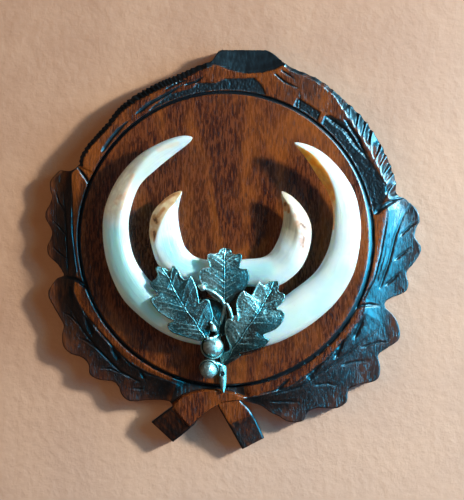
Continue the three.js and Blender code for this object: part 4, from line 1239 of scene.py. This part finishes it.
def cast_stem(shell):
    """The flat stem, which tapers to its end and has the nail's hole in it."""
    bottom = DISC_HEIGHT + GAP
    rows = []
    for i, half in enumerate(STEM_HALF_WIDTHS):
        rows.append((STEM_TOP[0] + i * STEM_STEP[0], STEM_TOP[1] + i * STEM_STEP[1], half))
    rows = curve(rows, LEAF_STEPS)
    turn = np.linspace(0, np.pi, 25)
    x = rows[:, None, 0] - rows[:, None, 2] * np.cos(turn)
    z = rows[:, None, 1] + 0 * turn
    away = np.hypot(x - NAIL[0], z - NAIL[1]) / NAIL_HOLE
    thickness = np.linspace(*STEM_THICKNESS, len(rows))[:, None]
    height = bottom + thickness * np.sin(turn) ** 0.7 - NAIL_HOLE_DEPTH * (1 - smooth(away, 0.55, 0.95))
    height = np.maximum(height, bottom + 0.05)
    rub = np.clip(0.35 + 0.5 * np.sin(turn) ** 2 - 0.9 * (1 - smooth(away, 0.7, 1.1)), 0, 1)
    shell.add_rings(np.stack([x, z, height], axis=-1), rub=rub, pitted=TWIG_PITS)


def oak_leaf_cover():
    shell = Shell()
    for leaf in LEAVES:
        cast_leaf(shell, *leaf)
    for points in TWIGS:
        cast_twig(shell, points, TWIG)
    for start, axis, radius in ACORNS:
        cast_acorn(shell, start, axis, radius)
    for start, towards in BUDS:
        turned(shell, BUD, start, np.subtract(towards, start), sides=24, rub=0.95)
    cast_stem(shell)
    return shell.finish("cast_oak_leaves", antiqued_metal(), "antiqued_metal", "oak_leaf_cover")


# ---------------------------------------------------------------- stage, light and camera
def wall():
    """A pale wall just behind the plaque, clear from behind so that the plaque's back can be seen."""
    m = Nodes("pale_wall")
    plaster = m.noise(14, detail=5)
    place = m.node("SeparateXYZ", {0: m.coordinates}).outputs
    # painted light and shade: the wall is painted darker towards the upper left and lighter towards the
    # lower right, as the light falls
    towards_light = m.ramp(m.less(place[0], place[2]), -0.16, 0.16)
    colour = m.mix(towards_light, WALL_SHADED, WALL_LIT)
    colour = m.mix(m.ramp(plaster, 0.35, 0.65, 0, 0.22), colour, WALL_PALE)
    relief = m.noise(160, detail=5, roughness=0.6)
    # painted light: a faint warm glow that lifts the wall's shadows
    shader = m.node("BsdfPrincipled", {
        "Base Color": colour, "Roughness": 0.85, "Normal": m.bump(relief, 0.35, PLASTER_BUMP),
        "Emission Color": (*WALL_PAINTED_GLOW, 1), "Emission Strength": 0.05,
    })
    clear = m.node("BsdfTransparent", {})
    behind = m.node("NewGeometry", {}).outputs["Backfacing"]
    both = m.node("MixShader", {0: behind, 1: shader.outputs[0], 2: clear.outputs[0]})
    m.tree.links.new(both.outputs[0], m.output.inputs["Surface"])
    data = bpy.data.meshes.new("wall")
    low_corners = [(-WALL_HALF, WALL_GAP, -WALL_HALF), (WALL_HALF, WALL_GAP, -WALL_HALF)]
    high_corners = [(WALL_HALF, WALL_GAP, WALL_HALF), (-WALL_HALF, WALL_GAP, WALL_HALF)]
    data.from_pydata(low_corners + high_corners, [], [(0, 1, 2, 3)])
    data.materials.append(m.material)
    piece = bpy.data.objects.new("wall", data)
    bpy.context.scene.collection.objects.link(piece)
    hide_from(piece, "diffuse", "glossy", "shadow")


def hide_from(piece, *rays):
    for ray in rays:
        setattr(piece, "visible_" + ray, False)


def area_light(name, towards, distance, size, power, colour, ray):
    """A soft light that shines at the plaque from the direction towards, for one kind of ray."""
    data = bpy.data.lights.new(name, "AREA")
    data.shape = "DISK"
    data.size = size
    data.energy = power
    data.color = colour
    light = bpy.data.objects.new(name, data)
    direction = Vector(towards).normalized()
    light.location = direction * distance
    light.rotation_euler = direction.to_track_quat("Z", "Y").to_euler()
    hide_from(light, "glossy" if ray == "diffuse" else "diffuse")
    bpy.context.scene.collection.objects.link(light)


def lights():
    for light in LIGHTS:
        area_light(*light)
    world = bpy.data.worlds.new("studio")
    world.use_nodes = True
    background = world.node_tree.nodes["Background"]
    background.inputs[0].default_value = (*WORLD_WHITE, 1)
    background.inputs[1].default_value = WORLD_STRENGTH
    bpy.context.scene.world = world


def backdrop():
    """A pale dome far round everything, seen where the wall ends. It sheds no light on the trophy."""
    m = Nodes("pale_backdrop")
    glow = m.node("Emission", {"Color": (*BACKDROP_GREY, 1), "Strength": 1.0})
    m.tree.links.new(glow.outputs[0], m.output.inputs["Surface"])
    bpy.ops.mesh.primitive_ico_sphere_add(subdivisions=4, radius=DOME_RADIUS)
    dome = bpy.context.object
    dome.name = "backdrop"
    dome.data.materials.append(m.material)
    hide_from(dome, "diffuse", "glossy", "transmission", "shadow")


def camera():
    """Straight at the plaque, as far off as keeps the tusks' size true."""
    data = bpy.data.cameras.new("camera")
    data.lens = data.sensor_width * CAMERA_DISTANCE / PICTURE_HEIGHT
    piece = bpy.data.objects.new("camera", data)
    piece.location = (CAMERA_RIGHT, -DISC_HEIGHT * MM - CAMERA_DISTANCE, CAMERA_UP)
    piece.rotation_euler = (math.pi / 2, 0, 0)
    bpy.context.scene.collection.objects.link(piece)
    bpy.context.scene.camera = piece


camera()
lights()
wall()
backdrop()
plaque()
tusks()
oak_leaf_cover()
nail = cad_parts["cover_nail"]
nail.data.materials.clear()
nail.data.materials.append(dark_steel())

bpy.context.scene.view_settings.view_transform = "Standard"
